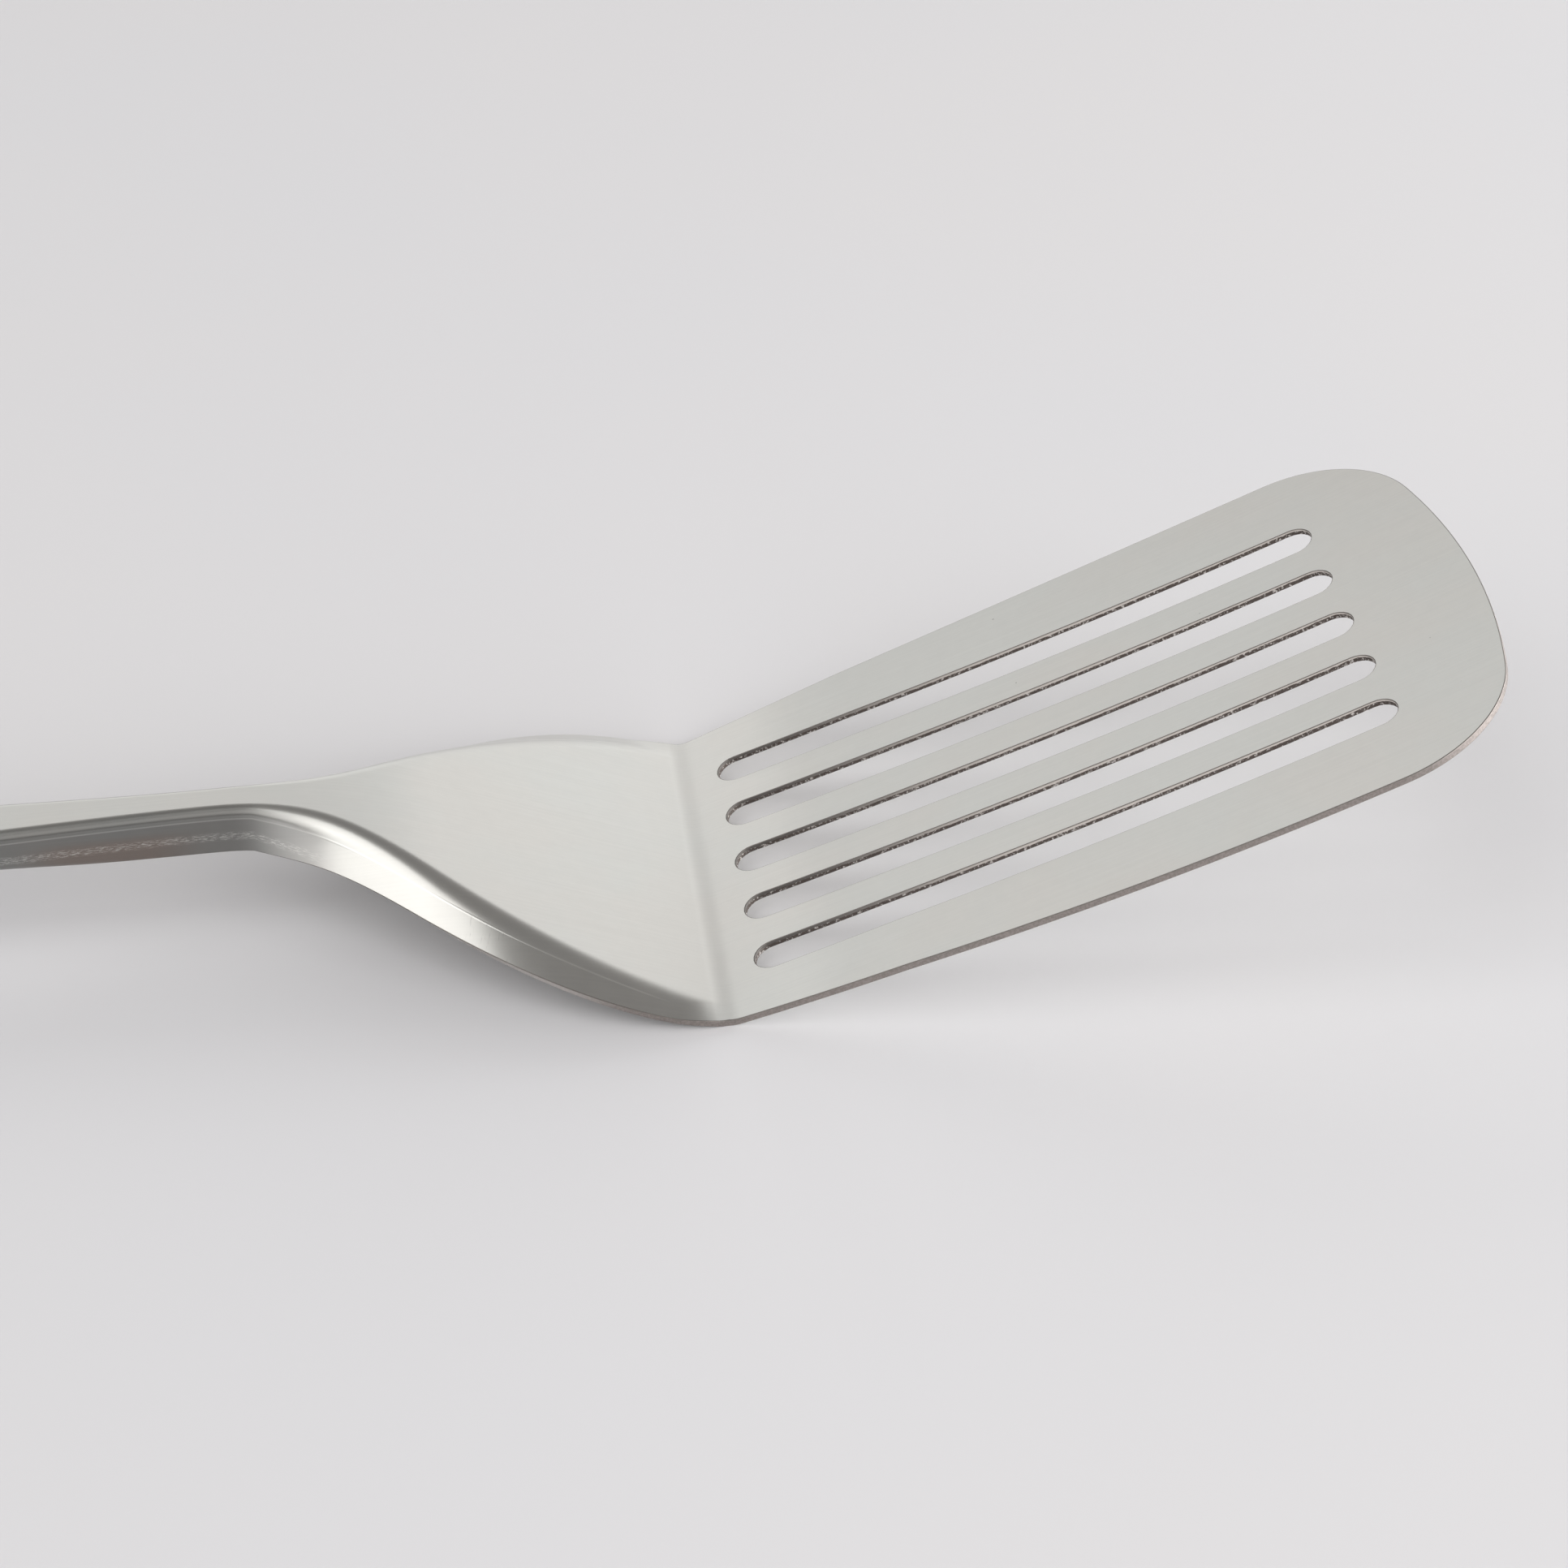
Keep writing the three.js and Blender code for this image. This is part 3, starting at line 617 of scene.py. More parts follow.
@dataclass
class TurnerHead:
    """The pressed head: one sheet from the tip of the blade to the end of the tang."""

    form: SheetForm
    handle_fall: float
    lip: float = 0.13
    slot_steps: int = 12
    bar_steps: int = 4
    edge_steps: tuple[int, int, int, int] = (4, 14, 6, 6)
    root_steps: int = 14
    slotted_steps: int = 44
    tip_steps: int = 18
    body_steps: tuple[int, ...] = (6, 44, 24, 26, 2, 3)

    def middle(self) -> tuple[Array, Array, Array]:
        """Columns across the slotted middle of the blade: cosine steps in a slot, even steps on a bar.

        Returns:
            Distance of each column from the middle, how far a slot's round end reaches there, and for each
            space between two columns whether it lies in a slot.
        """
        form = self.form
        radius = form.slot_radius + self.lip
        centres = (np.arange(form.slot_count) - (form.slot_count - 1) / 2.0) * form.slot_pitch
        swing = -np.cos(np.pi * even_steps(self.slot_steps))
        slots = centres[:, None] + radius * swing
        share = even_steps(self.bar_steps)[1:-1]
        bars = mix(slots[:-1, -1:], slots[1:, :1], share)
        bars = np.concatenate([bars, np.full((1, share.size), np.nan)])
        y = np.concatenate([slots, bars], axis=1).reshape(-1)
        rise = np.concatenate([radius * np.sqrt(1.0 - swing**2), np.zeros(share.size)])
        is_open = np.arange(self.slot_steps + self.bar_steps) < self.slot_steps
        keep = ~np.isnan(y)
        rises = np.tile(rise, form.slot_count)[keep]
        return y[keep], rises, np.tile(is_open, form.slot_count)[: keep.sum() - 1]

    def blade_rows(self) -> tuple[Array, Array]:
        """Blade points as rows from the crease to the tip: root, slotted stretch and tip in turn.

        Outside the slots the tip stretch is a panel blended from its four sides, so that its rows run into
        the side of the blade and its columns into the tip.

        Returns:
            Distance from the crease and from the middle plane of each point, row by row.
        """
        form = self.form
        outline = Outline.of(form, self.lip)
        y, rise, _ = self.middle()
        half = y[-1]
        marks = np.stack([0.0 * y, form.slot_from - rise, form.slot_to + rise, outline.tip_at(y)])
        across = even_steps(sum(self.edge_steps))[1:]
        root = even_steps(self.root_steps)[:, None]
        slotted = even_steps(self.slotted_steps)[1:, None]
        tip = even_steps(self.tip_steps)[1:, None]
        inner_s = np.concatenate([mix(marks[i], marks[i + 1], t) for i, t in enumerate((root, slotted, tip))])
        inner_y = np.broadcast_to(y, inner_s.shape)
        tangent = outline.side_centre[0] + outline.side_radius * cos(outline.side_angle)
        start = min(form.slot_to, tangent) - form.slot_radius
        end_s = mix(form.slot_to, start, across)
        side_s = np.concatenate([
            np.broadcast_to(root * form.slot_from, (root.size, across.size)),
            mix(form.slot_from, end_s, slotted),
        ])
        side_y = mix(half, outline.half_width(side_s), across)
        edge = outline.side_path(start, tip[:, 0])[:, None, :]
        corner = edge[-1, 0]
        foot = np.array([form.slot_to, half])
        inner = np.array([float(outline.tip_at(np.array(half))), half])
        base = outline.side_path(start, np.zeros(1))[0]
        tip_y = mix(half, corner[1], across)
        crest = pairs(outline.tip_at(tip_y), tip_y)[None]
        t, w = tip[:, :, None], across[None, :, None]
        flat = mix(mix(foot, inner, t), mix(base, corner, t), w)
        panel = mix(mix(foot, inner, t), edge, w) + mix(mix(foot, base, w), crest, t) - flat
        outer_s = np.concatenate([side_s, panel[..., 0]])
        outer_y = np.concatenate([side_y, panel[..., 1]])
        s = np.concatenate([outer_s[:, ::-1], inner_s, outer_s], axis=1)
        return s, np.concatenate([-outer_y[:, ::-1], inner_y, outer_y], axis=1)

    def body_rows(self) -> tuple[Array, Array, Array, Array, Array]:
        """Points of the tang, shank and shoulder as rows from the end of the tang to the crease.

        Returns:
            Distance from the crease, distance from the middle plane, drop below the flat, distance across
            along the sheet and distance past the end of the bend, row by row.
        """
        form = self.form
        stretches = form.body_stretches(self.handle_fall)
        starts = np.cumsum([0.0] + [stretch.length for stretch in stretches])
        steps = [np.linspace(starts[i], starts[i + 1], n + 1)[1:] for i, n in enumerate(self.body_steps)]
        s = -np.concatenate(steps)[::-1, None]
        distance = np.minimum(-s, form.mouth_distance)
        section = form.section(distance)
        section = section._replace(edge=section.edge - self.lip)
        y, _, _ = self.middle()
        held = y[-1] / (form.root_half - form.heel_edge)
        rest = section.flat * (1.0 - held)
        bend_run = section.bend * section.fold
        lip_run = np.maximum(form.curl_radius * section.curl, (section.edge - bend_run) / 3.0)
        marks = (-rest, 0.0 * rest, bend_run, section.edge - lip_run, section.edge)
        fitted = np.concatenate([
            mix(marks[i], marks[i + 1], even_steps(n)[1:]) for i, n in enumerate(self.edge_steps)
        ], axis=1)
        even = mix(-rest, section.edge, even_steps(sum(self.edge_steps))[1:])
        reach = mix(even, fitted, ease(distance / form.heel_fold_run))
        edge_y, edge_drop = form.edge_point(reach, section)
        inner_y = y / y[-1] * section.flat * held
        rows = inner_y.shape
        whole_y = np.concatenate([-edge_y[:, ::-1], inner_y, edge_y], axis=1)
        drop = np.concatenate([edge_drop[:, ::-1], np.zeros(rows), edge_drop], axis=1)
        spread = np.concatenate([-(section.flat + reach)[:, ::-1], inner_y, section.flat + reach], axis=1)
        past = reach - bend_run
        past = np.concatenate([past[:, ::-1], np.full(rows, NO_BEND), past], axis=1)
        return np.broadcast_to(s, whole_y.shape), whole_y, drop, spread, past

    def patch(self) -> Patch:
        """Top of the whole sheet, with its slots left open.

        Returns:
            The surface, with the distance along the sheet, across it and past the bend as values.
        """
        form = self.form
        body_s, body_y, body_drop, body_spread, body_past = self.body_rows()
        blade_s, blade_y = self.blade_rows()
        s = np.concatenate([body_s, blade_s])
        y = np.concatenate([body_y, blade_y])
        drop = np.concatenate([body_drop, -form.dish(blade_s, blade_y)])
        x, z, slope = form.profile(s, self.handle_fall)
        points = np.stack([x + drop * np.sin(slope), y, z - drop * np.cos(slope)], axis=-1)
        rows, columns = s.shape
        quads = grid_quads(rows, columns)
        _, _, is_open = self.middle()
        side = sum(self.edge_steps)
        open_column = np.concatenate([np.zeros(side, bool), is_open, np.zeros(side, bool)])
        first = len(body_s) + self.root_steps
        row = np.arange(rows - 1)[:, None]
        hole = (row >= first) & (row < first + self.slotted_steps) & open_column
        values = {
            "run": s.reshape(-1),
            "spread": np.concatenate([body_spread, blade_y]).reshape(-1),
            "past_bend": np.concatenate([body_past, np.full(blade_s.shape, NO_BEND)]).reshape(-1),
        }
        return Patch(points.reshape(-1, 3), quads[~hole.reshape(-1)], values)

    def build(self, crease: float) -> Body:
        """The closed sheet in the part's own frame.

        Args:
            crease: how far forward of the origin the crease lies.

        Returns:
            The sheet with rounded lips; finish 0 is its faces and finish 1 its cut edges.
        """
        body = thicken(weld(self.patch()), self.form.sheet, self.lip)
        return body._replace(points=body.points + np.array([crease, 0.0, 0.0]))


@dataclass(frozen=True)
class GripForm:
    """Sizes of the handle in its own frame: x runs forward from its back, z is square to the grip."""

    tang_half: float
    tang_depth: float
    tang_bend: float
    fit_gap: float = 0.3
    ferrule_length: float = 12.0
    nose_lip: float = 1.2
    spigot_length: float = 6.0
    spigot_wall: float = 1.4
    shell_wall: float = 1.0
    length: float = 122.0
    grip_width: float = 24.0
    corner: float = 4.5
    hole_diameter: float = 8.0
    hole_inset: float = 14.0
    bush_wall: float = 0.8
    rivet_diameter: float = 3.2
    rivet_head: float = 5.6
    rivet_head_height: float = 1.1
    rivet_inset: float = 10.0
    tang_length: float = 60.0

    @classmethod
    def of(cls, form: SheetForm, samples: int = 200) -> GripForm:
        """Handle that fits round the tang of a sheet: the tang is widest where its edge stands upright.

        Args:
            form: sizes of the sheet.
            samples: points of the tang's edge that are measured.

        Returns:
            The sizes of the handle.
        """
        section = Section(*(float(v) for v in form.section(np.array(form.mouth_distance))))
        reach = np.linspace(0.0, section.edge, samples)
        y, drop = form.edge_point(reach, section)
        return cls(tang_half=float(y.max()), tang_depth=float(drop.max()), tang_bend=section.bend)

    @property
    def half_depth(self) -> float:
        """Half the height of the grip."""
        return self.tang_depth / 2.0 + 2.0 * self.fit_gap + self.spigot_wall + self.shell_wall

    @property
    def mouth_half(self) -> float:
        """Half the width of the grip where it meets the ferrule."""
        return self.tang_half + 2.0 * self.fit_gap + self.spigot_wall + self.shell_wall

    @property
    def tail_half(self) -> float:
        """Half the width of the grip at its tail, which is also the radius of its round end."""
        return self.grip_width / 2.0

    @property
    def shell_front(self) -> float:
        """Where the shells begin."""
        return -self.ferrule_length

    @property
    def tail_centre(self) -> float:
        """Middle of the round end."""
        return self.shell_front - self.length + self.tail_half

    @property
    def hole_place(self) -> float:
        """Middle of the hanging hole."""
        return self.shell_front - self.length + self.hole_inset

    @property
    def bush_radius(self) -> float:
        """Outer radius of the bush in the hanging hole."""
        return self.hole_diameter / 2.0 + self.bush_wall

    @property
    def rivet_places(self) -> tuple[float, float]:
        """Where the front and the rear rivet stand."""
        front = self.shell_front - self.spigot_length - self.rivet_inset
        return front, self.rivet_inset - self.tang_length

    def half_width(self, x: Array) -> Array:
        """Half width along the grip: a parabola that is level at the middle of the round end."""
        share = (x - self.tail_centre) / (self.shell_front - self.tail_centre)
        return self.tail_half - (self.tail_half - self.mouth_half) * share**2


@dataclass(frozen=True)
class GripPlace:
    """Where the handle's frame stands in the part's: a shift and a fall toward the tail."""

    x: float
    z: float
    fall: float

    def carry(self, points: Array) -> Array:
        """Points of the handle's frame in the part's, turned by the fall and then shifted.

        Args:
            points: places in the handle's frame.

        Returns:
            The same places in the part's frame.
        """
        x = points[..., 0] * cos(self.fall) - points[..., 2] * sin(self.fall) + self.x
        z = points[..., 0] * sin(self.fall) + points[..., 2] * cos(self.fall) + self.z
        return np.stack([x, points[..., 1], z], axis=-1)

    def carry_body(self, body: Body) -> Body:
        """A piece of the handle in the part's frame, with its normals turned the same way."""
        turned = self.carry(body.normals) - np.array([self.x, 0.0, self.z])
        return body._replace(points=self.carry(body.points), normals=turned)


class Half(Enum):
    """The two pressed shells of the grip."""

    UPPER = 1
    LOWER = -1


@dataclass(frozen=True)
class GripShell:
    """One pressed shell of the hollow grip, with a wall, a rounded shoulder and a flat with three holes."""

    form: GripForm
    half: Half
    lip: float = 0.15
    straight_steps: int = 8
    pin_steps: int = 12
    eye_steps: int = 48
    wall_steps: int = 4
    corner_steps: int = 10
    flat_steps: int = 6
    tail_ease: float = 0.55

    def stations(self) -> tuple[Array, Array, Array]:
        """Stations from the mouth to the tail on the +Y side.

        The inner path follows the middle line and goes half round each hole. The outer path keeps the same x
        as far as the hanging hole. From there it runs on to the end of the tail, slowly at first, in step
        with the angle round the hole.

        Returns:
            Points of the outer path, its outward normals and points of the inner path, each as (x, y).
        """
        form = self.form
        pin = form.rivet_diameter / 2.0 + form.fit_gap + self.lip
        eye = form.bush_radius + form.fit_gap + self.lip
        even = even_steps(self.straight_steps)[:-1]
        swing = np.linspace(0.0, np.pi, self.pin_steps + 1)[:-1]
        front, rear = form.rivet_places
        mouth = form.shell_front - self.lip
        marks = (mouth, front + pin, front - pin, rear + pin, rear - pin, form.hole_place + eye)
        straights = [pairs(mix(marks[i], marks[i + 1], even), 0.0 * even) for i in (0, 2, 4)]
        rounds = [pairs(x + pin * np.cos(swing), pin * np.sin(swing)) for x in (front, rear)]
        turn = np.linspace(0.0, np.pi, self.eye_steps + 1)
        last = pairs(form.hole_place + eye * np.cos(turn), eye * np.sin(turn))
        ahead = np.concatenate([straights[0], rounds[0], straights[1], rounds[1], straights[2]])
        side_run = marks[-1] - form.tail_centre
        share = turn / np.pi
        run = share * mix(self.tail_ease, 1.0, share) * (side_run + form.tail_half * np.pi / 2.0)
        side_x = np.concatenate([ahead[:, 0], np.maximum(marks[-1] - run, form.tail_centre)])
        angle = np.concatenate([0.0 * ahead[:, 0], np.maximum(run - side_run, 0.0) / form.tail_half])
        slope = 2.0 * (form.mouth_half - form.tail_half) / (form.shell_front - form.tail_centre) ** 2
        lean = -np.arctan(slope * (side_x - form.tail_centre)) - angle
        normals = pairs(np.sin(lean), np.cos(lean))
        round_end = (angle > 0.0)[:, None]
        side = pairs(side_x, form.half_width(side_x))
        arc = np.array([form.tail_centre, 0.0]) + form.tail_half * normals
        return np.where(round_end, arc, side), normals, np.concatenate([ahead, last])

    def build(self) -> Body:
        """Carries wall, quarter circle and flat along the stations, on both sides.

        Returns:
            The closed shell in the handle's frame.
        """
        form = self.form
        outer, normals, inner = self.stations()
        seam = form.fit_gap / 2.0 + self.lip
        top = form.half_depth - form.corner
        wall = even_steps(self.wall_steps)
        angle = quarter_turn(self.corner_steps)[1:]
        inset = np.concatenate([0.0 * wall, form.corner * (1.0 - np.cos(angle))])
        height = np.concatenate([mix(seam, top, wall), top + form.corner * np.sin(angle)])
        side = outer[:, None] - inset[None, :, None] * normals[:, None]
        share = even_steps(self.flat_steps)[1:, None]
        flat = mix(side[:, -1:], inner[:, None], share[None])
        plan = np.concatenate([side, flat], axis=1)
        z = np.concatenate([height, np.full(self.flat_steps, form.half_depth)])
        points = np.concatenate([plan, np.broadcast_to(z[:, None], plan.shape[:2] + (1,))], axis=-1)
        quads = grid_quads(*plan.shape[:2])
        mirrored = points * np.array([1.0, -1.0, 1.0])
        both = np.concatenate([points.reshape(-1, 3), mirrored.reshape(-1, 3)])
        faces = np.concatenate([quads, quads[:, ::-1] + points.size // 3])
        both = both * np.array([1.0, 1.0, float(self.half.value)])
        faces = faces[:, :: self.half.value]
        return thicken(weld(Patch(both, faces, {})), form.shell_wall, self.lip, rim=0)


@dataclass(frozen=True)
class Ferrule:
    """The bolster between shank and grip: a sleeve that swells from its nose, with a spigot behind it."""

    form: GripForm
    lip: float = 0.35
    turns: int = 6
    sleeve_steps: int = 18
    corner_steps: int = 10

    def rings(self) -> Array:
        """Rings in order round the wall of the sleeve.

        Every lip is a quarter circle of rings that are parallel to the ring beside it, and the sleeve swells
        as the sine of its length.

        Returns:
            Place along the axis, half width, half depth and corner radius of each ring.
        """
        form = self.form
        base = np.array([form.tang_half, form.tang_depth / 2.0, form.tang_bend])
        grip = np.array([form.mouth_half, form.half_depth, form.corner])
        aperture = base + np.array([form.fit_gap, form.fit_gap, 0.0])
        nose = aperture + form.nose_lip
        nose[2] = min(form.corner, nose[1] - form.nose_lip)
        spigot = grip - form.shell_wall - form.fit_gap
        back = form.fit_gap - form.ferrule_length
        end = form.shell_front - form.spigot_length
        turn = quarter_turn(self.turns)[:, None]
        out, along = self.lip * (1.0 - np.cos(turn)), self.lip * (1.0 - np.sin(turn))
        share = even_steps(self.sleeve_steps)[1:-1, None]
        swell = np.concatenate([
            mix(nose[:2], grip[:2], np.sin(share * np.pi / 2.0)),
            mix(nose[2:], grip[2:], share),
        ], axis=1)
        parts = [
            np.concatenate([-along, aperture + out], axis=1),
            np.concatenate([-out, nose - along], axis=1),
            np.concatenate([share * back, swell], axis=1),
            np.concatenate([back + along, grip - out], axis=1),
            np.concatenate([[[back], [back - self.lip]], np.broadcast_to(spigot, (2, 3))], axis=1),
            np.concatenate([end + along, spigot - out], axis=1),
            np.concatenate([end + out, aperture + along], axis=1),
        ]
        return np.concatenate(parts)

    def build(self) -> Body:
        """Lays a rounded rectangle on every ring and joins them all round.

        Returns:
            The closed ferrule in the handle's frame.
        """
        place, width, depth, radius = (column[:, None] for column in self.rings().T)
        quarter = quarter_turn(self.corner_steps)
        angle = (np.arange(4)[:, None] * np.pi / 2.0 + quarter).reshape(-1)
        side = np.repeat(np.array([1.0, -1.0, -1.0, 1.0]), quarter.size)
        up = np.repeat(np.array([1.0, 1.0, -1.0, -1.0]), quarter.size)
        y = side * (width - radius) + radius * np.cos(angle)
        z = up * (depth - radius) + radius * np.sin(angle)
        points = np.stack([np.broadcast_to(place, y.shape), y, z], axis=-1)
        quads = grid_quads(*y.shape, closed_rows=True, closed_columns=True)
        return plain_body(points.reshape(-1, 3), quads, {})


def lathe(profile: Array, steps: int, x: float) -> Body:
    """A turned piece: a profile of radius and height, carried round an upright axis at x.

    Args:
        profile: radius and height of each point, upward on the outside.
        steps: points in a turn.
        x: where the axis stands.

    Returns:
        The closed piece, with its radius as the value "radius".
    """
    angle = -np.linspace(0.0, 2.0 * np.pi, steps, endpoint=False)
    radius, height = profile[:, :1], profile[:, 1:]
    points = np.stack([
        x + radius * np.cos(angle),
        radius * np.sin(angle),
        np.broadcast_to(height, (len(profile), steps)),
    ], axis=-1)
    closed = bool(profile[0, 0] > 0.0)
    quads = grid_quads(len(profile), steps, closed_rows=closed, closed_columns=True)
    values = {"radius": np.repeat(profile[:, 0], steps)}
    return plain_body(points.reshape(-1, 3), quads, values)


@dataclass(frozen=True)
class Rivet:
    """A rivet through shells, tang and packing, with a domed head at each end."""

    form: GripForm
    x: float
    rim: float = 0.2
    rim_rise: float = 0.05
    neck_hold: float = 0.1
    dome_steps: int = 16
    steps: int = 48

    def build(self) -> Body:
        """Turns shank, undercut, rounded rim and a dome that is a quarter ellipse, above and below.

        Returns:
            The closed rivet in the handle's frame.
        """
        form = self.form
        seat = form.half_depth + form.fit_gap
        head = form.rivet_head / 2.0
        shank = form.rivet_diameter / 2.0
        turn = quarter_turn(self.dome_steps)[1:]
        dome = pairs(head * np.cos(turn), seat + form.rivet_head_height * np.sin(turn))
        dome[-1, 0] = 0.0
        widths = np.array([shank, shank, shank, head - self.rim, head])
        heights = np.array([0.0, seat - self.neck_hold, seat, seat, seat + self.rim_rise])
        upper = np.concatenate([pairs(widths, heights), dome])
        lower = (upper * np.array([1.0, -1.0]))[:0:-1]
        return lathe(np.concatenate([lower, upper]), self.steps, self.x)


@dataclass(frozen=True)
class HangingBush:
    """The tube that lines the hanging hole, flush with the grip on both sides, with rounded lips."""

    form: GripForm
    lip: float = 0.3
    steps: int = 64
    turns: int = 6

    def build(self) -> Body:
        """Turns the tube: up the outside, over a lip, down the bore and round the other lip.

        Returns:
            The closed tube in the handle's frame.
        """
        form = self.form
        turn = quarter_turn(self.turns)
        rise = form.half_depth - self.lip * (1.0 - np.sin(turn))
        outer = form.bush_radius - self.lip * (1.0 - np.cos(turn))
        inner = form.hole_diameter / 2.0 + self.lip * (1.0 - np.cos(turn))
        top = np.concatenate([pairs(outer, rise), pairs(inner, rise)[::-1]])
        under = (top * np.array([1.0, -1.0]))[::-1]
        return lathe(np.concatenate([top, under]), self.steps, form.hole_place)


class Grain(NamedTuple):
    """A noise: its scale, its octaves and how strong the fine ones are."""

    scale: float
    detail: float
    rough: float


class Desk:
    """Builds one node tree: adds nodes, sets their sockets and links them."""

    def __init__(self, tree: bpy.types.NodeTree) -> None:
        """Starts with an empty tree."""
        self.tree = tree
        tree.nodes.clear()

    def add(self, kind: str, inputs: dict[Any, Any] | None = None, **settings: Any) -> bpy.types.Node:
        """Adds a node.

        Args:
            kind: type of node, without its ShaderNode prefix.
            inputs: values or output sockets for its inputs, by name or number.
            settings: attributes of the node itself.

        Returns:
            The new node.
        """
        node = self.tree.nodes.new("ShaderNode" + kind)
        for key, value in settings.items():
            setattr(node, key, value)
        for key, value in (inputs or {}).items():
            if isinstance(value, bpy.types.NodeSocket):
                self.tree.links.new(value, node.inputs[key])
            else:
                node.inputs[key].default_value = value
        return node

    def math(self, operation: str, *values: Any) -> Socket:
        """Result of an operation on one, two or three values or sockets."""
        return self.add("Math", dict(enumerate(values)), operation=operation).outputs[0]

    def product(self, *factors: Any) -> Socket:
        """Product of values or sockets."""
        return reduce(lambda first, second: self.math("MULTIPLY", first, second), factors)

    def plus(self, value: Any, factor: Any, base: Any) -> Socket:
        """A base with a value times a factor added to it."""
        return self.math("MULTIPLY_ADD", value, factor, base)

    def vary(self, base: Any, noise: Socket, amount: float) -> Socket:
        """A base that a noise from 0 to 1 moves down or up by as much as half an amount."""
        return self.plus(noise, amount, self.math("SUBTRACT", base, amount / 2.0))

    def ramp(self, value: Any, span: Span, ends: Span = (0.0, 1.0)) -> Socket:
        """A smooth step over a span of a value, from the first of two ends to the second."""
        inputs = dict(zip(("Value", "From Min", "From Max", "To Min", "To Max"), (value, *span, *ends)))
        return self.add("MapRange", inputs, interpolation_type="SMOOTHSTEP").outputs[0]

    def fade(self, value: Any, span: Span) -> Socket:
        """A smooth step down, from 1 before a span to 0 past it."""
        return self.ramp(value, span, (1.0, 0.0))

    def window(self, value: Any, marks: Window) -> Socket:
        """A smooth step up between the first two marks, times one down between the last two."""
        return self.product(self.ramp(value, marks[:2]), self.fade(value, marks[2:]))

    def toward(self, amount: Any, level: float) -> Socket:
        """A smooth step from 1 where an amount is 0 to a level where it is 1."""
        return self.ramp(amount, (0.0, 1.0), (1.0, level))

    def tint(self, factor: Any, first: Any, second: Any) -> Socket:
        """Mix of two colours.

        Args:
            factor: share of the second colour.
            first: a socket, or red, green and blue.
            second: the same.

        Returns:
            The mixed colour.
        """
        ends = [(*end, 1.0) if isinstance(end, tuple) else end for end in (first, second)]
        inputs = {0: factor, MIX_FIRST: ends[0], MIX_SECOND: ends[1]}
        return self.add("Mix", inputs, data_type="RGBA").outputs[MIX_RESULT]

    def scaled(self, colour: Any, factor: Any) -> Socket:
        """A colour times a factor."""
        return self.add("VectorMath", {0: colour, "Scale": factor}, operation="SCALE").outputs[0]

    def noise(self, vector: Any, grain: Grain) -> Socket:
        """Cloudy values from 0 to 1."""
        inputs = {"Vector": vector, "Scale": grain.scale, "Detail": grain.detail, "Roughness": grain.rough}
        return self.add("TexNoise", inputs).outputs["Fac"]

    def value(self, name: str) -> Socket:
        """A named value stored at the points of the mesh."""
        return self.add("Attribute", attribute_name=name).outputs["Fac"]

    def vector(self, x: Any, y: Any) -> Socket:
        """Two values as one place."""
        return self.add("CombineXYZ", {0: x, 1: y}).outputs[0]

    def stretched(self, first: Any, second: Any, pitch: Span) -> Socket:
        """Two values as one place, each times its own pitch."""
        return self.vector(self.product(first, pitch[0]), self.product(second, pitch[1]))

    def drawn_out(self, place: Socket, scale: Triple) -> Socket:
        """A place scaled along each axis, so that a noise on it is long where the scale is small."""
        return self.add("Mapping", {"Vector": place, "Scale": scale}).outputs[0]

    def grey(self, colour: Any) -> Socket:
        """Brightness of a colour."""
        return self.add("RGBToBW", {0: colour}).outputs[0]

    def bump(self, height: Any, depth: float, under: Socket | None = None) -> Socket:
        """Normals for a relief, laid over another relief if there is one.

        Args:
            height: the relief, from 0 to about 1.
            depth: how deep it is in metres.
            under: normals of the relief under it.

        Returns:
            The normals.
        """
        inputs = {"Strength": 1.0, "Distance": depth, "Height": height}
        if under is not None:
            inputs["Normal"] = under
        return self.add("Bump", inputs).outputs[0]

    def close(self, inputs: dict[str, Any]) -> None:
        """Closes the tree with a surface that has those inputs."""
        shader = self.add("BsdfPrincipled", inputs)
        self.add("OutputMaterial", {"Surface": shader.outputs[0]})

    def metal(self, colour: Any, roughness: Any, normal: Any) -> None:
        """Closes the tree with a metal surface."""
        self.close({"Base Color": colour, "Metallic": 1.0, "Roughness": roughness, "Normal": normal})


def new_object(name: str, data: bpy.types.ID) -> bpy.types.Object:
    """Makes an object for a mesh, a lamp or a camera and links it to the scene.

    Args:
        name: name of the object.
        data: what it shows.

    Returns:
        The new object, at the origin.
    """
    made = bpy.data.objects.new(name, data)
    bpy.context.scene.collection.objects.link(made)
    return made


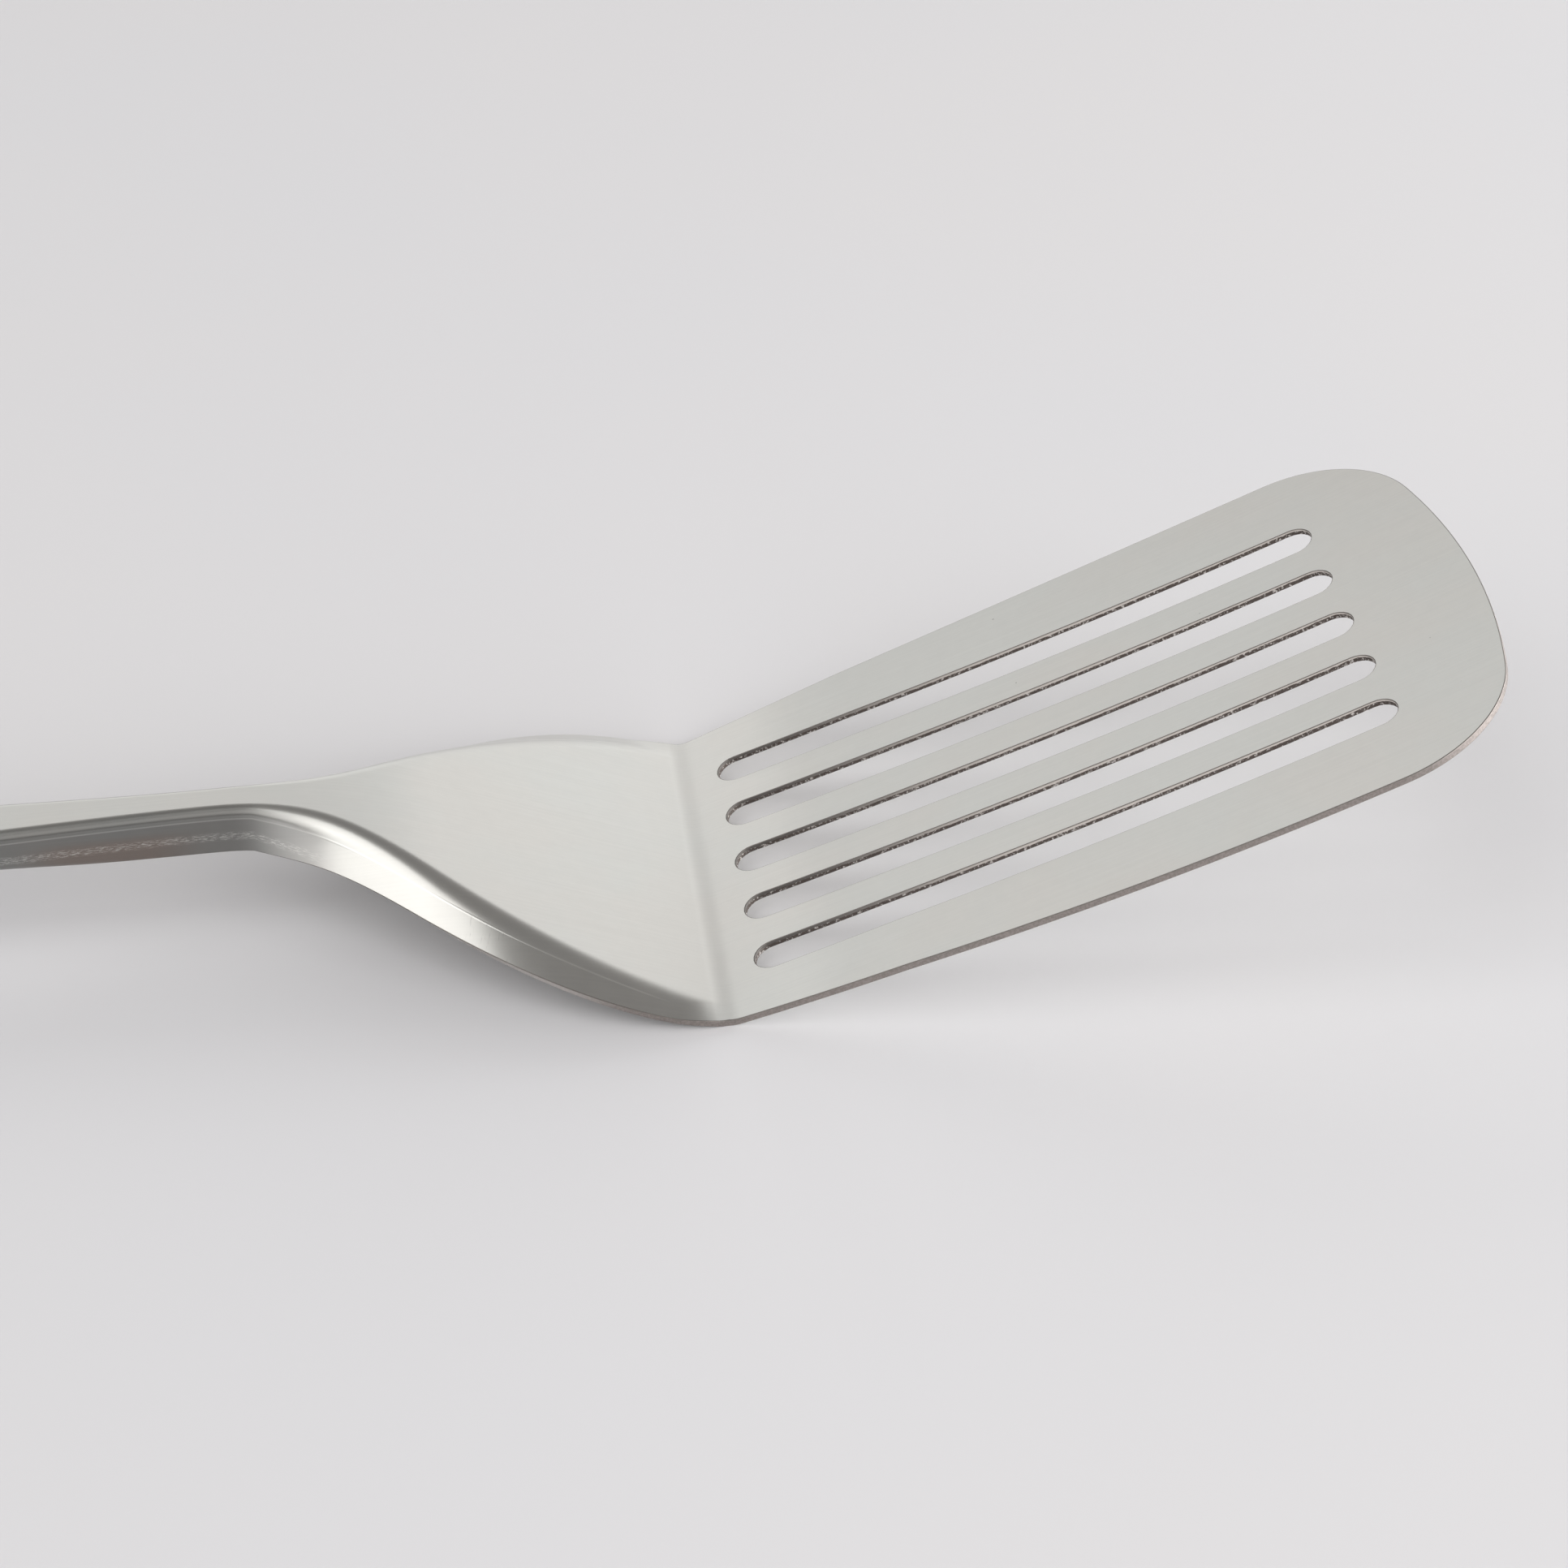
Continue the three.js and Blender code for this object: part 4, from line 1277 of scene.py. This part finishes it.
def make_mesh(name: str, body: Body, materials: list[bpy.types.Material]) -> bpy.types.Object:
    """Puts a closed body into a mesh object at the origin, in metres, shaded smooth.

    Args:
        name: name of the piece.
        body: its points, faces, finish numbers and values.
        materials: one material for each finish number.

    Returns:
        The new object, linked to the scene.
    """
    used, back = np.unique(body.quads, return_inverse=True)
    quads = back.reshape(-1, 4)
    kept = quads != np.roll(quads, -1, axis=1)
    sizes = kept.sum(axis=1)
    mesh = bpy.data.meshes.new(name)
    mesh.vertices.add(len(used))
    mesh.vertices.foreach_set("co", (body.points[used] * MM).astype(np.float32).reshape(-1))
    mesh.loops.add(int(sizes.sum()))
    mesh.loops.foreach_set("vertex_index", quads[kept].astype(np.int32))
    mesh.polygons.add(len(quads))
    mesh.polygons.foreach_set("loop_start", (np.cumsum(sizes) - sizes).astype(np.int32))
    mesh.polygons.foreach_set("material_index", body.finishes.astype(np.int32))
    mesh.polygons.foreach_set("use_smooth", np.ones(len(quads), dtype=bool))
    for key, value in body.values.items():
        layer = mesh.attributes.new(key, "FLOAT", "POINT")
        layer.data.foreach_set("value", value[used].astype(np.float32))
    for material in materials:
        mesh.materials.append(material)
    mesh.update(calc_edges=True)
    mesh.validate()
    layer = mesh.attributes.new("custom_normal", "FLOAT_VECTOR", "POINT")
    layer.data.foreach_set("vector", body.normals[used].astype(np.float32).reshape(-1))
    LOG.info("%s: %d points, %d faces", name, len(used), len(quads))
    return new_object(name, mesh)


@dataclass(frozen=True)
class Finish:
    """What all finishes share: a material with a name, drawn from Object coordinates and named values.

    In every finish a Grain is a noise, a field ending in cut is the span of a noise that a smooth step takes,
    one ending in gloss is a change of roughness, and one ending in shade or shine is a factor on the colour.
    """

    name: str = "finish"

    def make(self) -> bpy.types.Material:
        """Makes the material and draws its tree.

        Returns:
            The finished material.
        """
        material = bpy.data.materials.new(self.name)
        material.use_nodes = True
        desk = Desk(material.node_tree)
        self.draw(desk, desk.add("TexCoord").outputs["Object"])
        return material

    def draw(self, desk: Desk, place: Socket) -> None:
        """Draws the tree; every finish has its own way."""
        raise NotImplementedError


@dataclass(frozen=True)
class SatinSheet(Finish):
    """Finish of the pressed faces: satin steel with fine lines, clouds, specks and the marks of the press, with
    painted shade on the shank's bend and wall, painted highlights along the heel and on the die line, and a
    painted brown reflection on the lower shank wall.

    A field ending in run has marks along the sheet from the crease, and one ending in past has marks across
    it from the end of the bend, both in mm. Two marks are one smooth step, and four are a step up and a step
    down.
    """

    name: str = "satin_sheet"
    colour: Triple = (0.598, 0.601, 0.576)
    warm: Triple = (0.612, 0.603, 0.574)
    # Colour of a painted reflection: the reddish shaded floor seen in the lower shank wall.
    painted_brown: Triple = (0.60, 0.515, 0.462)
    roughness: float = 0.305
    lines: Grain = Grain(1.0, 3.0, 0.6)
    line_pitch: Span = (0.03, 2.6)
    line_depth: float = 1.2e-6
    cloud: Grain = Grain(38.0, 3.0, 0.55)
    cloud_cut: Span = (0.35, 0.65)
    cloud_gloss: float = 0.03
    mottle: Grain = Grain(420.0, 3.0, 0.6)
    mottle_gloss: float = 0.02
    mottle_relief: float = 0.5
    mottle_share: float = 0.6
    grain_cut: Span = (0.5, 1.1)
    grain_shade: Span = (0.975, 1.02)
    speck_scale: float = 170.0
    speck_chosen: float = 0.72
    speck_size: Span = (0.012, 0.03)
    speck_shade: float = 0.55
    # Die line: a real ridge in the relief, and also a painted highlight in the colour where the ridge catches
    # light.
    die_past: Span = (0.03, 0.2)
    die_run: Span = (-13.0, -6.0)
    die_painted_shine: float = 0.2
    scratch_at: float = 3.1
    scratch_past: Span = (0.2, 1.0)
    scratch_run: Span = (-62.0, -52.0)
    scratch_shine: float = 0.5
    scratch_gloss: float = 0.18
    scratch_relief: float = 0.5
    hatch: Grain = Grain(1.0, 4.0, 0.75)
    hatch_lean: float = 1.5
    hatch_pitch: float = 6.0
    hatch_cut: Span = (0.47, 0.62)
    mark_depth: float = 1.3e-5
    # Where the painted brown reflection lies on the lower shank wall, and how much scratches cut it.
    brown_reflection_run: Window = (-99.0, -90.0, -80.0, -70.0)
    brown_reflection_past: Span = (0.6, 3.0)
    brown_reflection_scratched: float = 0.25
    # Painted highlight: the sheet's colour is brightened along the heel crease, standing for the light it
    # catches there.
    heel_sheen_run: Window = (-3.0, 0.5, 6.0, 22.0)
    heel_painted_shine: float = 1.11
    knock: Grain = Grain(1.0, 2.0, 0.6)
    knock_pitch: Span = (3.5, 0.25)
    knock_cut: Span = (0.56, 0.7)
    knock_run: Window = (-37.0, -34.0, -31.0, -27.0)
    knock_past: Span = (-0.4, 0.4)
    knock_shade: float = 0.72
    # Painted shade: the shank's bend and wall are darkened to stand for the dark room and shaded floor that
    # they mirror.
    shank_shade_run: Span = (-70.0, -56.0)
    shank_shade_past: Span = (-2.5, -1.3)
    shank_painted_shade: float = 0.39

    def specks(self, desk: Desk, place: Socket) -> Socket:
        """Small specks in the middles of some of many cells.

        Args:
            desk: where the tree is built.
            place: Object coordinates.

        Returns:
            1 in a speck and 0 beside it.
        """
        cells = desk.add("TexVoronoi", {"Vector": place, "Scale": self.speck_scale})
        chosen = desk.math("GREATER_THAN", desk.grey(cells.outputs["Color"]), self.speck_chosen)
        return desk.product(chosen, desk.fade(cells.outputs["Distance"], self.speck_size))

    def scratches(self, desk: Desk, run: Socket, past: Socket) -> Socket:
        """A band of slanting scratches along the drawn wall of the shank.

        Args:
            desk: where the tree is built.
            run: distance along the sheet from the crease.
            past: distance past the end of the bend.

        Returns:
            1 in a scratch and 0 beside it.
        """
        slant = desk.vector(desk.plus(past, self.hatch_lean, run), desk.product(past, self.hatch_pitch))
        hatch = desk.ramp(desk.noise(slant, self.hatch), self.hatch_cut)
        offset = desk.math("ABSOLUTE", desk.math("SUBTRACT", past, self.scratch_at))
        return desk.product(desk.fade(offset, self.scratch_past), desk.fade(run, self.scratch_run), hatch)

    def draw(self, desk: Desk, place: Socket) -> None:
        """Draws clouds and specks by place, and lines, marks, the painted shade on the shank, the painted
        highlights at the heel and die line and the painted brown reflection by the sheet's own values.

        Args:
            desk: where the tree is built.
            place: Object coordinates.
        """
        run, spread, past = (desk.value(name) for name in ("run", "spread", "past_bend"))
        lines = desk.noise(desk.stretched(run, spread, self.line_pitch), self.lines)
        cloud = desk.noise(place, self.cloud)
        mottle = desk.noise(place, self.mottle)
        scratch = self.scratches(desk, run, past)
        # Mask of the die line, used for its real ridge and for its painted highlight.
        die_ridge_and_shine = desk.fade(desk.math("ABSOLUTE", past), self.die_past)
        die_ridge_and_shine = desk.product(die_ridge_and_shine, desk.fade(run, self.die_run))
        tone = desk.tint(desk.ramp(cloud, self.cloud_cut), self.colour, self.warm)
        # Painted reflection: the lower shank wall is tinted brown where it mirrors the reddish shaded floor.
        reflected_brown_mask = desk.product(desk.window(run, self.brown_reflection_run), desk.ramp(past, self.brown_reflection_past))
        tone = desk.tint(desk.product(reflected_brown_mask, desk.toward(scratch, self.brown_reflection_scratched)), tone, self.painted_brown)
        shade = desk.ramp(desk.plus(mottle, self.mottle_share, lines), self.grain_cut, self.grain_shade)
        # Painted highlight along the heel crease.
        heel_sheen = desk.toward(desk.window(run, self.heel_sheen_run), self.heel_painted_shine)
        tick = desk.ramp(desk.noise(desk.stretched(run, past, self.knock_pitch), self.knock), self.knock_cut)
        knocked = desk.product(tick, desk.window(run, self.knock_run), desk.ramp(past, self.knock_past))
        knocked = desk.toward(knocked, self.knock_shade)
        # drawn is the mask of the painted shade over the shank's bend and wall.
        drawn = desk.product(desk.ramp(past, self.shank_shade_past), desk.fade(run, self.shank_shade_run))
        shade = desk.product(shade, heel_sheen, knocked, desk.toward(drawn, self.shank_painted_shade))
        # The die line's painted highlight is added to the colour here.
        bright = desk.plus(die_ridge_and_shine, self.die_painted_shine, desk.plus(scratch, self.scratch_shine, shade))
        worn = desk.product(bright, desk.toward(self.specks(desk, place), self.speck_shade))
        gloss = desk.vary(desk.vary(self.roughness, cloud, self.cloud_gloss), mottle, self.mottle_gloss)
        gloss = desk.plus(scratch, self.scratch_gloss, gloss)
        fine = desk.bump(desk.plus(mottle, self.mottle_relief, lines), self.line_depth)
        ridge = desk.plus(scratch, self.scratch_relief, die_ridge_and_shine)
        desk.metal(desk.scaled(tone, worn), gloss, desk.bump(ridge, self.mark_depth, fine))


@dataclass(frozen=True)
class CutEdge(Finish):
    """Finish of the punched edges: slots keep a sheared land and a torn band, the outer edge is dressed, a
    painted dark line of shade runs along the top lip, and the land is painted darker toward the heel as shade.

    A field ending in run has marks along the sheet from the crease in mm, and one ending in share has marks
    from the top of the sheet, as shares of its thickness.
    """

    name: str = "cut_edge"
    land: Triple = (0.70, 0.65, 0.605)
    # Painted shade: the land darkens toward the heel, where it mirrors the shaded floor under the blade.
    painted_shade_land: Triple = (0.17, 0.158, 0.148)
    land_shade_run: Span = (12.0, 48.0)
    torn: Triple = (0.115, 0.096, 0.087)
    torn_share: Span = (0.36, 0.46)
    torn_gloss: float = 0.2
    torn_depth: float = 4.0e-5
    ragged: Grain = Grain(900.0, 3.0, 0.6)
    ragged_height: float = 0.3
    grit: Grain = Grain(2700.0, 3.0, 0.65)
    tip_run: Span = (60.0, 90.0)
    tip_rise: float = 0.12
    speck: Triple = (0.62, 0.59, 0.56)
    speck_cut: Span = (0.53, 0.66)
    # lip: colour of the painted shade along the rolled top lip, where it mirrors the dark; soil also darkens
    # the dressed edge toward it.
    lip: Triple = (0.19, 0.176, 0.163)
    lip_shade_share: Span = (0.03, 0.15)
    dressed: Triple = (0.37, 0.33, 0.31)
    soil_cut: Span = (0.35, 0.65)
    soil: float = 0.5
    polish_run: Window = (-46.0, -40.0, -24.0, -12.0)
    polish: float = 0.85
    roughness: float = 0.42
    slot_reach: float = 27.0
    slot_run: Span = (0.5, 100.0)

    def outer(self, desk: Desk, run: Socket) -> Socket:
        """Tells the outer edge from the slots by its place on the sheet.

        Args:
            desk: where the tree is built.
            run: distance along the sheet from the crease.

        Returns:
            1 on the outer edge and 0 in a slot.
        """
        beside = desk.math("GREATER_THAN", desk.math("ABSOLUTE", desk.value("spread")), self.slot_reach)
        behind = desk.math("LESS_THAN", run, self.slot_run[0])
        ahead = desk.math("GREATER_THAN", run, self.slot_run[1])
        return desk.math("MAXIMUM", desk.math("MAXIMUM", beside, behind), ahead)

    def draw(self, desk: Desk, place: Socket) -> None:
        """Draws land, torn band and the painted dark line of shade at the lip by the depth below the top of the
        sheet.

        Args:
            desk: where the tree is built.
            place: Object coordinates.
        """
        depth, run = desk.value("depth"), desk.value("run")
        ragged, grit = desk.noise(place, self.ragged), desk.noise(place, self.grit)
        outer = self.outer(desk, run)
        rise = desk.ramp(run, self.tip_run, (0.0, self.tip_rise))
        level = desk.math("ADD", desk.vary(depth, ragged, self.ragged_height), rise)
        torn = desk.ramp(level, self.torn_share)
        # Land colour with painted shade toward the heel.
        land = desk.tint(desk.ramp(run, self.land_shade_run), self.painted_shade_land, self.land)
        speck = desk.product(torn, desk.ramp(grit, self.speck_cut))
        slotted = desk.tint(speck, desk.tint(torn, land, self.torn), self.speck)
        plain = desk.tint(desk.ramp(grit, self.soil_cut, (0.0, self.soil)), self.dressed, self.lip)
        plain = desk.tint(desk.product(desk.window(run, self.polish_run), self.polish), plain, self.speck)
        # Painted shade: a dark line along the top lip of every cut edge.
        colour = desk.tint(desk.fade(depth, self.lip_shade_share), desk.tint(outer, slotted, plain), self.lip)
        tear = desk.product(torn, desk.math("SUBTRACT", 1.0, outer))
        height = desk.product(tear, desk.math("ADD", grit, ragged))
        gloss = desk.plus(tear, self.torn_gloss, self.roughness)
        desk.metal(colour, gloss, desk.bump(height, self.torn_depth))


@dataclass(frozen=True)
class BrushedGrip(Finish):
    """Finish of the handle: satin steel brushed along the grip, with handling wear in soft clouds."""

    name: str = "satin_handle"
    colour: Triple = (0.585, 0.58, 0.556)
    warm: Triple = (0.60, 0.583, 0.545)
    roughness: float = 0.34
    drawn: Triple = (22.0, 1900.0, 1900.0)
    lines: Grain = Grain(1.0, 3.0, 0.6)
    line_cut: Span = (0.3, 0.7)
    line_shade: Span = (0.965, 1.02)
    line_gloss: float = 0.06
    line_depth: float = 1.6e-6
    cloud: Grain = Grain(45.0, 3.0, 0.55)
    cloud_cut: Span = (0.35, 0.65)
    cloud_gloss: float = 0.08
    mottle: Grain = Grain(500.0, 2.0, 0.6)
    mottle_relief: float = 0.4

    def draw(self, desk: Desk, place: Socket) -> None:
        """Draws brush lines as a noise drawn out along X, over soft clouds.

        Args:
            desk: where the tree is built.
            place: Object coordinates.
        """
        lines = desk.noise(desk.drawn_out(place, self.drawn), self.lines)
        cloud = desk.noise(place, self.cloud)
        mottle = desk.noise(place, self.mottle)
        tone = desk.tint(desk.ramp(cloud, self.cloud_cut), self.colour, self.warm)
        colour = desk.scaled(tone, desk.ramp(lines, self.line_cut, self.line_shade))
        gloss = desk.vary(desk.vary(self.roughness, cloud, self.cloud_gloss), lines, self.line_gloss)
        desk.metal(colour, gloss, desk.bump(desk.plus(mottle, self.mottle_relief, lines), self.line_depth))


@dataclass(frozen=True)
class TurnedTrim(Finish):
    """Finish of rivets and bush: turned steel with fine rings, polished by use."""

    name: str = "turned_trim"
    colour: Triple = (0.62, 0.612, 0.59)
    roughness: float = 0.21
    rings: Grain = Grain(1.0, 2.0, 0.5)
    ring_pitch: float = 9.0
    ring_depth: float = 1.5e-6
    cloud: Grain = Grain(320.0, 3.0, 0.6)
    cloud_gloss: float = 0.1
    grain_cut: Span = (0.7, 1.3)
    grain_shade: Span = (0.96, 1.02)

    def draw(self, desk: Desk, place: Socket) -> None:
        """Draws the rings by the distance from the axis.

        Args:
            desk: where the tree is built.
            place: Object coordinates.
        """
        rings = desk.noise(desk.vector(desk.product(desk.value("radius"), self.ring_pitch), 0.0), self.rings)
        cloud = desk.noise(place, self.cloud)
        shade = desk.ramp(desk.math("ADD", rings, cloud), self.grain_cut, self.grain_shade)
        gloss = desk.vary(self.roughness, cloud, self.cloud_gloss)
        desk.metal(desk.scaled(self.colour, shade), gloss, desk.bump(rings, self.ring_depth))


@dataclass(frozen=True)
class MillBar(Finish):
    """Finish of the bar inside the tang: drawn bar as it comes from the mill, dull and slightly scaled."""

    name: str = "mill_bar"
    colour: Triple = (0.44, 0.43, 0.41)
    scale: Triple = (0.30, 0.285, 0.265)
    roughness: float = 0.42
    drawn: Triple = (60.0, 1500.0, 1500.0)
    lines: Grain = Grain(1.0, 2.0, 0.6)
    patch: Grain = Grain(260.0, 4.0, 0.65)
    patch_cut: Span = (0.45, 0.62)
    patch_gloss: float = 0.2
    pit_depth: float = 6.0e-6

    def draw(self, desk: Desk, place: Socket) -> None:
        """Draws lines along X under patches of scale.

        Args:
            desk: where the tree is built.
            place: Object coordinates.
        """
        lines = desk.noise(desk.drawn_out(place, self.drawn), self.lines)
        patch = desk.ramp(desk.noise(place, self.patch), self.patch_cut)
        colour = desk.tint(patch, self.colour, self.scale)
        gloss = desk.plus(patch, self.patch_gloss, self.roughness)
        desk.metal(colour, gloss, desk.bump(desk.math("ADD", lines, patch), self.pit_depth))


@dataclass(frozen=True)
class PaleFloor(Finish):
    """The floor: a pale smooth board with the faintest clouds."""

    name: str = "pale_floor"
    colour: Triple = (0.725, 0.715, 0.724)
    cool: Triple = (0.716, 0.712, 0.728)
    roughness: float = 0.6
    specular: float = 0.2
    cloud: Grain = Grain(6.0, 3.0, 0.5)
    cloud_cut: Span = (0.3, 0.7)

    def draw(self, desk: Desk, place: Socket) -> None:
        """Draws the clouds by place.

        Args:
            desk: where the tree is built.
            place: Object coordinates.
        """
        cloud = desk.ramp(desk.noise(place, self.cloud), self.cloud_cut)
        colour = desk.tint(cloud, self.colour, self.cool)
        desk.close({"Base Color": colour, "Roughness": self.roughness, "Specular IOR Level": self.specular})


class SoftBox(NamedTuple):
    """A soft lamp: azimuth from +Y toward +X and elevation in degrees, then metres and brightness."""

    name: str
    azimuth: float
    elevation: float
    distance: float
    width: float
    height: float
    level: float
    colour: Triple = (1.0, 1.0, 1.0)


@dataclass(frozen=True)
class Studio:
    """Pale floor, soft boxes in a dim room and the camera at the photograph's angle.

    The floor is in metres, the camera's distance in mm, and names ending in px are pixels of the photograph.
    """

    floor_size: float = 40.0
    room: Triple = (0.253, 0.245, 0.241)
    boxes: tuple[SoftBox, ...] = (
        SoftBox("back_box", -2.0, 20.0, 3.0, 4.6, 2.3, 0.83),
        SoftBox("back_right_box", 38.0, 17.0, 3.0, 1.8, 1.4, 0.19),
        SoftBox("right_box", 85.0, 9.0, 2.0, 2.8, 1.05, 6.6),
        SoftBox("front_right_box", 134.0, 18.0, 2.0, 1.1, 1.5, 3.8),
        SoftBox("front_box", -178.0, 36.0, 3.0, 4.0, 2.2, 0.75, (1.0, 0.985, 0.985)),
        SoftBox("left_box", -117.0, 37.0, 2.4, 1.84, 3.95, 1.53, (1.0, 1.0, 0.995)),
    )
    frame_px: float = 1932.0
    focal_px: float = 4200.0
    sensor_width: float = 36.0
    clip_start: float = 0.01
    camera_azimuth: float = radians(-7.137)
    camera_elevation: float = radians(33.965)
    camera_distance: float = 484.04
    crease_px: Span = (864.4, 1077.19)

    def floor(self) -> None:
        """Lays the floor at z = 0."""
        half = self.floor_size / 2.0
        corners = [(-half, -half, 0.0), (half, -half, 0.0), (half, half, 0.0), (-half, half, 0.0)]
        mesh = bpy.data.meshes.new("floor")
        mesh.from_pydata(corners, [], [(0, 1, 2, 3)])
        mesh.materials.append(PaleFloor().make())
        new_object("floor", mesh)

    def lamps(self) -> None:
        """Sets the dim room as the world and hangs the soft boxes, each turned toward the turner."""
        world = bpy.data.worlds.new("room")
        world.use_nodes = True
        desk = Desk(world.node_tree)
        room = desk.add("Background", {"Color": (*self.room, 1.0), "Strength": 1.0})
        desk.add("OutputWorld", {"Surface": room.outputs[0]})
        bpy.context.scene.world = world
        for box in self.boxes:
            lamp = bpy.data.lights.new(box.name, "AREA")
            lamp.shape = "RECTANGLE"
            lamp.size = box.width
            lamp.size_y = box.height
            lamp.energy = box.level * box.width * box.height * pi
            lamp.color = box.colour
            azimuth, elevation = radians(box.azimuth), radians(box.elevation)
            toward = Vector((sin(azimuth) * cos(elevation), cos(azimuth) * cos(elevation), sin(elevation)))
            hung = new_object(box.name, lamp)
            hung.location = toward * box.distance
            hung.rotation_euler = toward.to_track_quat("Z", "Y").to_euler()
            hung.visible_camera = False

    def camera(self, crease: Array) -> None:
        """Stands the camera where the crease falls on its place in the picture.

        Args:
            crease: top of the sheet in the middle of the crease, in mm.
        """
        azimuth, elevation = self.camera_azimuth, self.camera_elevation
        back = Vector((sin(azimuth) * cos(elevation), -cos(azimuth) * cos(elevation), sin(elevation)))
        right = Vector((cos(azimuth), sin(azimuth), 0.0))
        up = back.cross(right)
        scale = self.camera_distance / self.focal_px
        aside = scale * (self.frame_px / 2.0 - self.crease_px[0])
        raised = scale * (self.crease_px[1] - self.frame_px / 2.0)
        spot = (Vector(crease) + back * self.camera_distance + right * aside + up * raised) * MM
        lens = bpy.data.cameras.new("photo_camera")
        lens.sensor_width = self.sensor_width
        lens.lens = self.sensor_width * self.focal_px / self.frame_px
        lens.clip_start = self.clip_start
        stand = new_object("photo_camera", lens)
        turn = Matrix((right, up, back)).transposed().to_4x4()
        stand.matrix_world = Matrix.Translation(spot) @ turn
        bpy.context.scene.camera = stand

    def build(self, crease: Array) -> None:
        """Builds the floor, the lamps and the camera, and sets the plain view transform.

        Args:
            crease: top of the sheet in the middle of the crease, in mm.
        """
        self.floor()
        self.lamps()
        self.camera(crease)
        bpy.context.scene.view_settings.view_transform = "Standard"


def put(name: str, node: str, body: Body, materials: list[bpy.types.Material]) -> None:
    """Makes a piece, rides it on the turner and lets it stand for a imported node.

    Args:
        name: name of the piece.
        node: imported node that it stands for.
        body: its mesh.
        materials: one material for each finish number of the mesh.
    """
    piece = make_mesh(name, body, materials)
    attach(piece, BODY)
    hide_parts(node)


@dataclass(frozen=True)
class Turner:
    """The whole turner: its pressed head, and the handle set on the tang."""

    form: SheetForm = field(default_factory=SheetForm)

    @property
    def grip(self) -> GripForm:
        """The handle that fits the tang."""
        return GripForm.of(self.form)

    @property
    def fall(self) -> float:
        """How far the handle falls: the underside of its tail lies on the ground.

        Returns:
            The slope as an angle.
        """
        grip = self.grip
        run = grip.ferrule_length + grip.length - grip.corner
        return asin(self.mouth()[1] / hypot(run, grip.half_depth)) - atan2(grip.half_depth, run)

    def mouth(self) -> tuple[float, float]:
        """Middle of the end of the shank.

        Returns:
            How far ahead of the crease it lies and its height.
        """
        form = self.form
        x, z, slope = (float(v[0]) for v in form.profile(np.array([-form.mouth_distance]), form.shank_fall))
        half = self.grip.tang_depth / 2.0
        return x + sin(slope) * half, z - cos(slope) * half

    def crease(self) -> Array:
        """Top of the sheet in the middle of the crease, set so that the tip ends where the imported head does.

        Returns:
            The place in the part's frame, in mm.
        """
        x, _, slope = self.form.profile(np.array([self.form.blade_length]), self.fall)
        tip = float(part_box("turner_head")[1][0]) / MM
        return np.array([tip - x[0] - self.form.sheet * sin(slope[0]), 0.0, self.form.crease_height])

    def build_head(self) -> None:
        """Builds and dresses the pressed head."""
        body = TurnerHead(self.form, self.fall).build(float(self.crease()[0]))
        put("pressed_head", "turner_head", body, [SatinSheet().make(), CutEdge().make()])

    def build_handle(self) -> None:
        """Builds and dresses the shells, the ferrule, the rivets and the bush."""
        grip = self.grip
        x, z = self.mouth()
        place = GripPlace(float(self.crease()[0]) + x, z, self.fall)
        satin, trim = BrushedGrip().make(), TurnedTrim().make()
        front, rear = grip.rivet_places
        pieces = (
            ("upper_shell", "handle_upper_shell", "satin_handle", GripShell(grip, Half.UPPER), satin),
            ("lower_shell", "handle_lower_shell", "satin_handle", GripShell(grip, Half.LOWER), satin),
            ("ferrule_sleeve", "handle_ferrule", "satin_handle", Ferrule(grip), satin),
            ("domed_rivet_front", "front_rivet", "turned_trim", Rivet(grip, front), trim),
            ("domed_rivet_rear", "rear_rivet", "turned_trim", Rivet(grip, rear), trim),
            ("hanging_eye", "hanging_bush", "turned_trim", HangingBush(grip), trim),
        )
        for name, node, slot, maker, material in pieces:
            put(name, node, place.carry_body(maker.build()), [material])

    def dress_packing(self, packing: bpy.types.Object) -> None:
        """Gives the bar in the tang its mill finish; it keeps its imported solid."""
        packing.material_slots[0].material = MillBar().make()
        LOG.info("%s: packed solid kept", packing.name)


def main() -> None:
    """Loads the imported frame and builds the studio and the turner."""
    logging.basicConfig(level=logging.INFO, format="%(message)s")
    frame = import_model()
    turner = Turner()
    Studio().build(turner.crease())
    turner.build_head()
    turner.build_handle()
    turner.dress_packing(frame["nodes"]["tang_packing"])


if __name__ == "__main__":
    main()
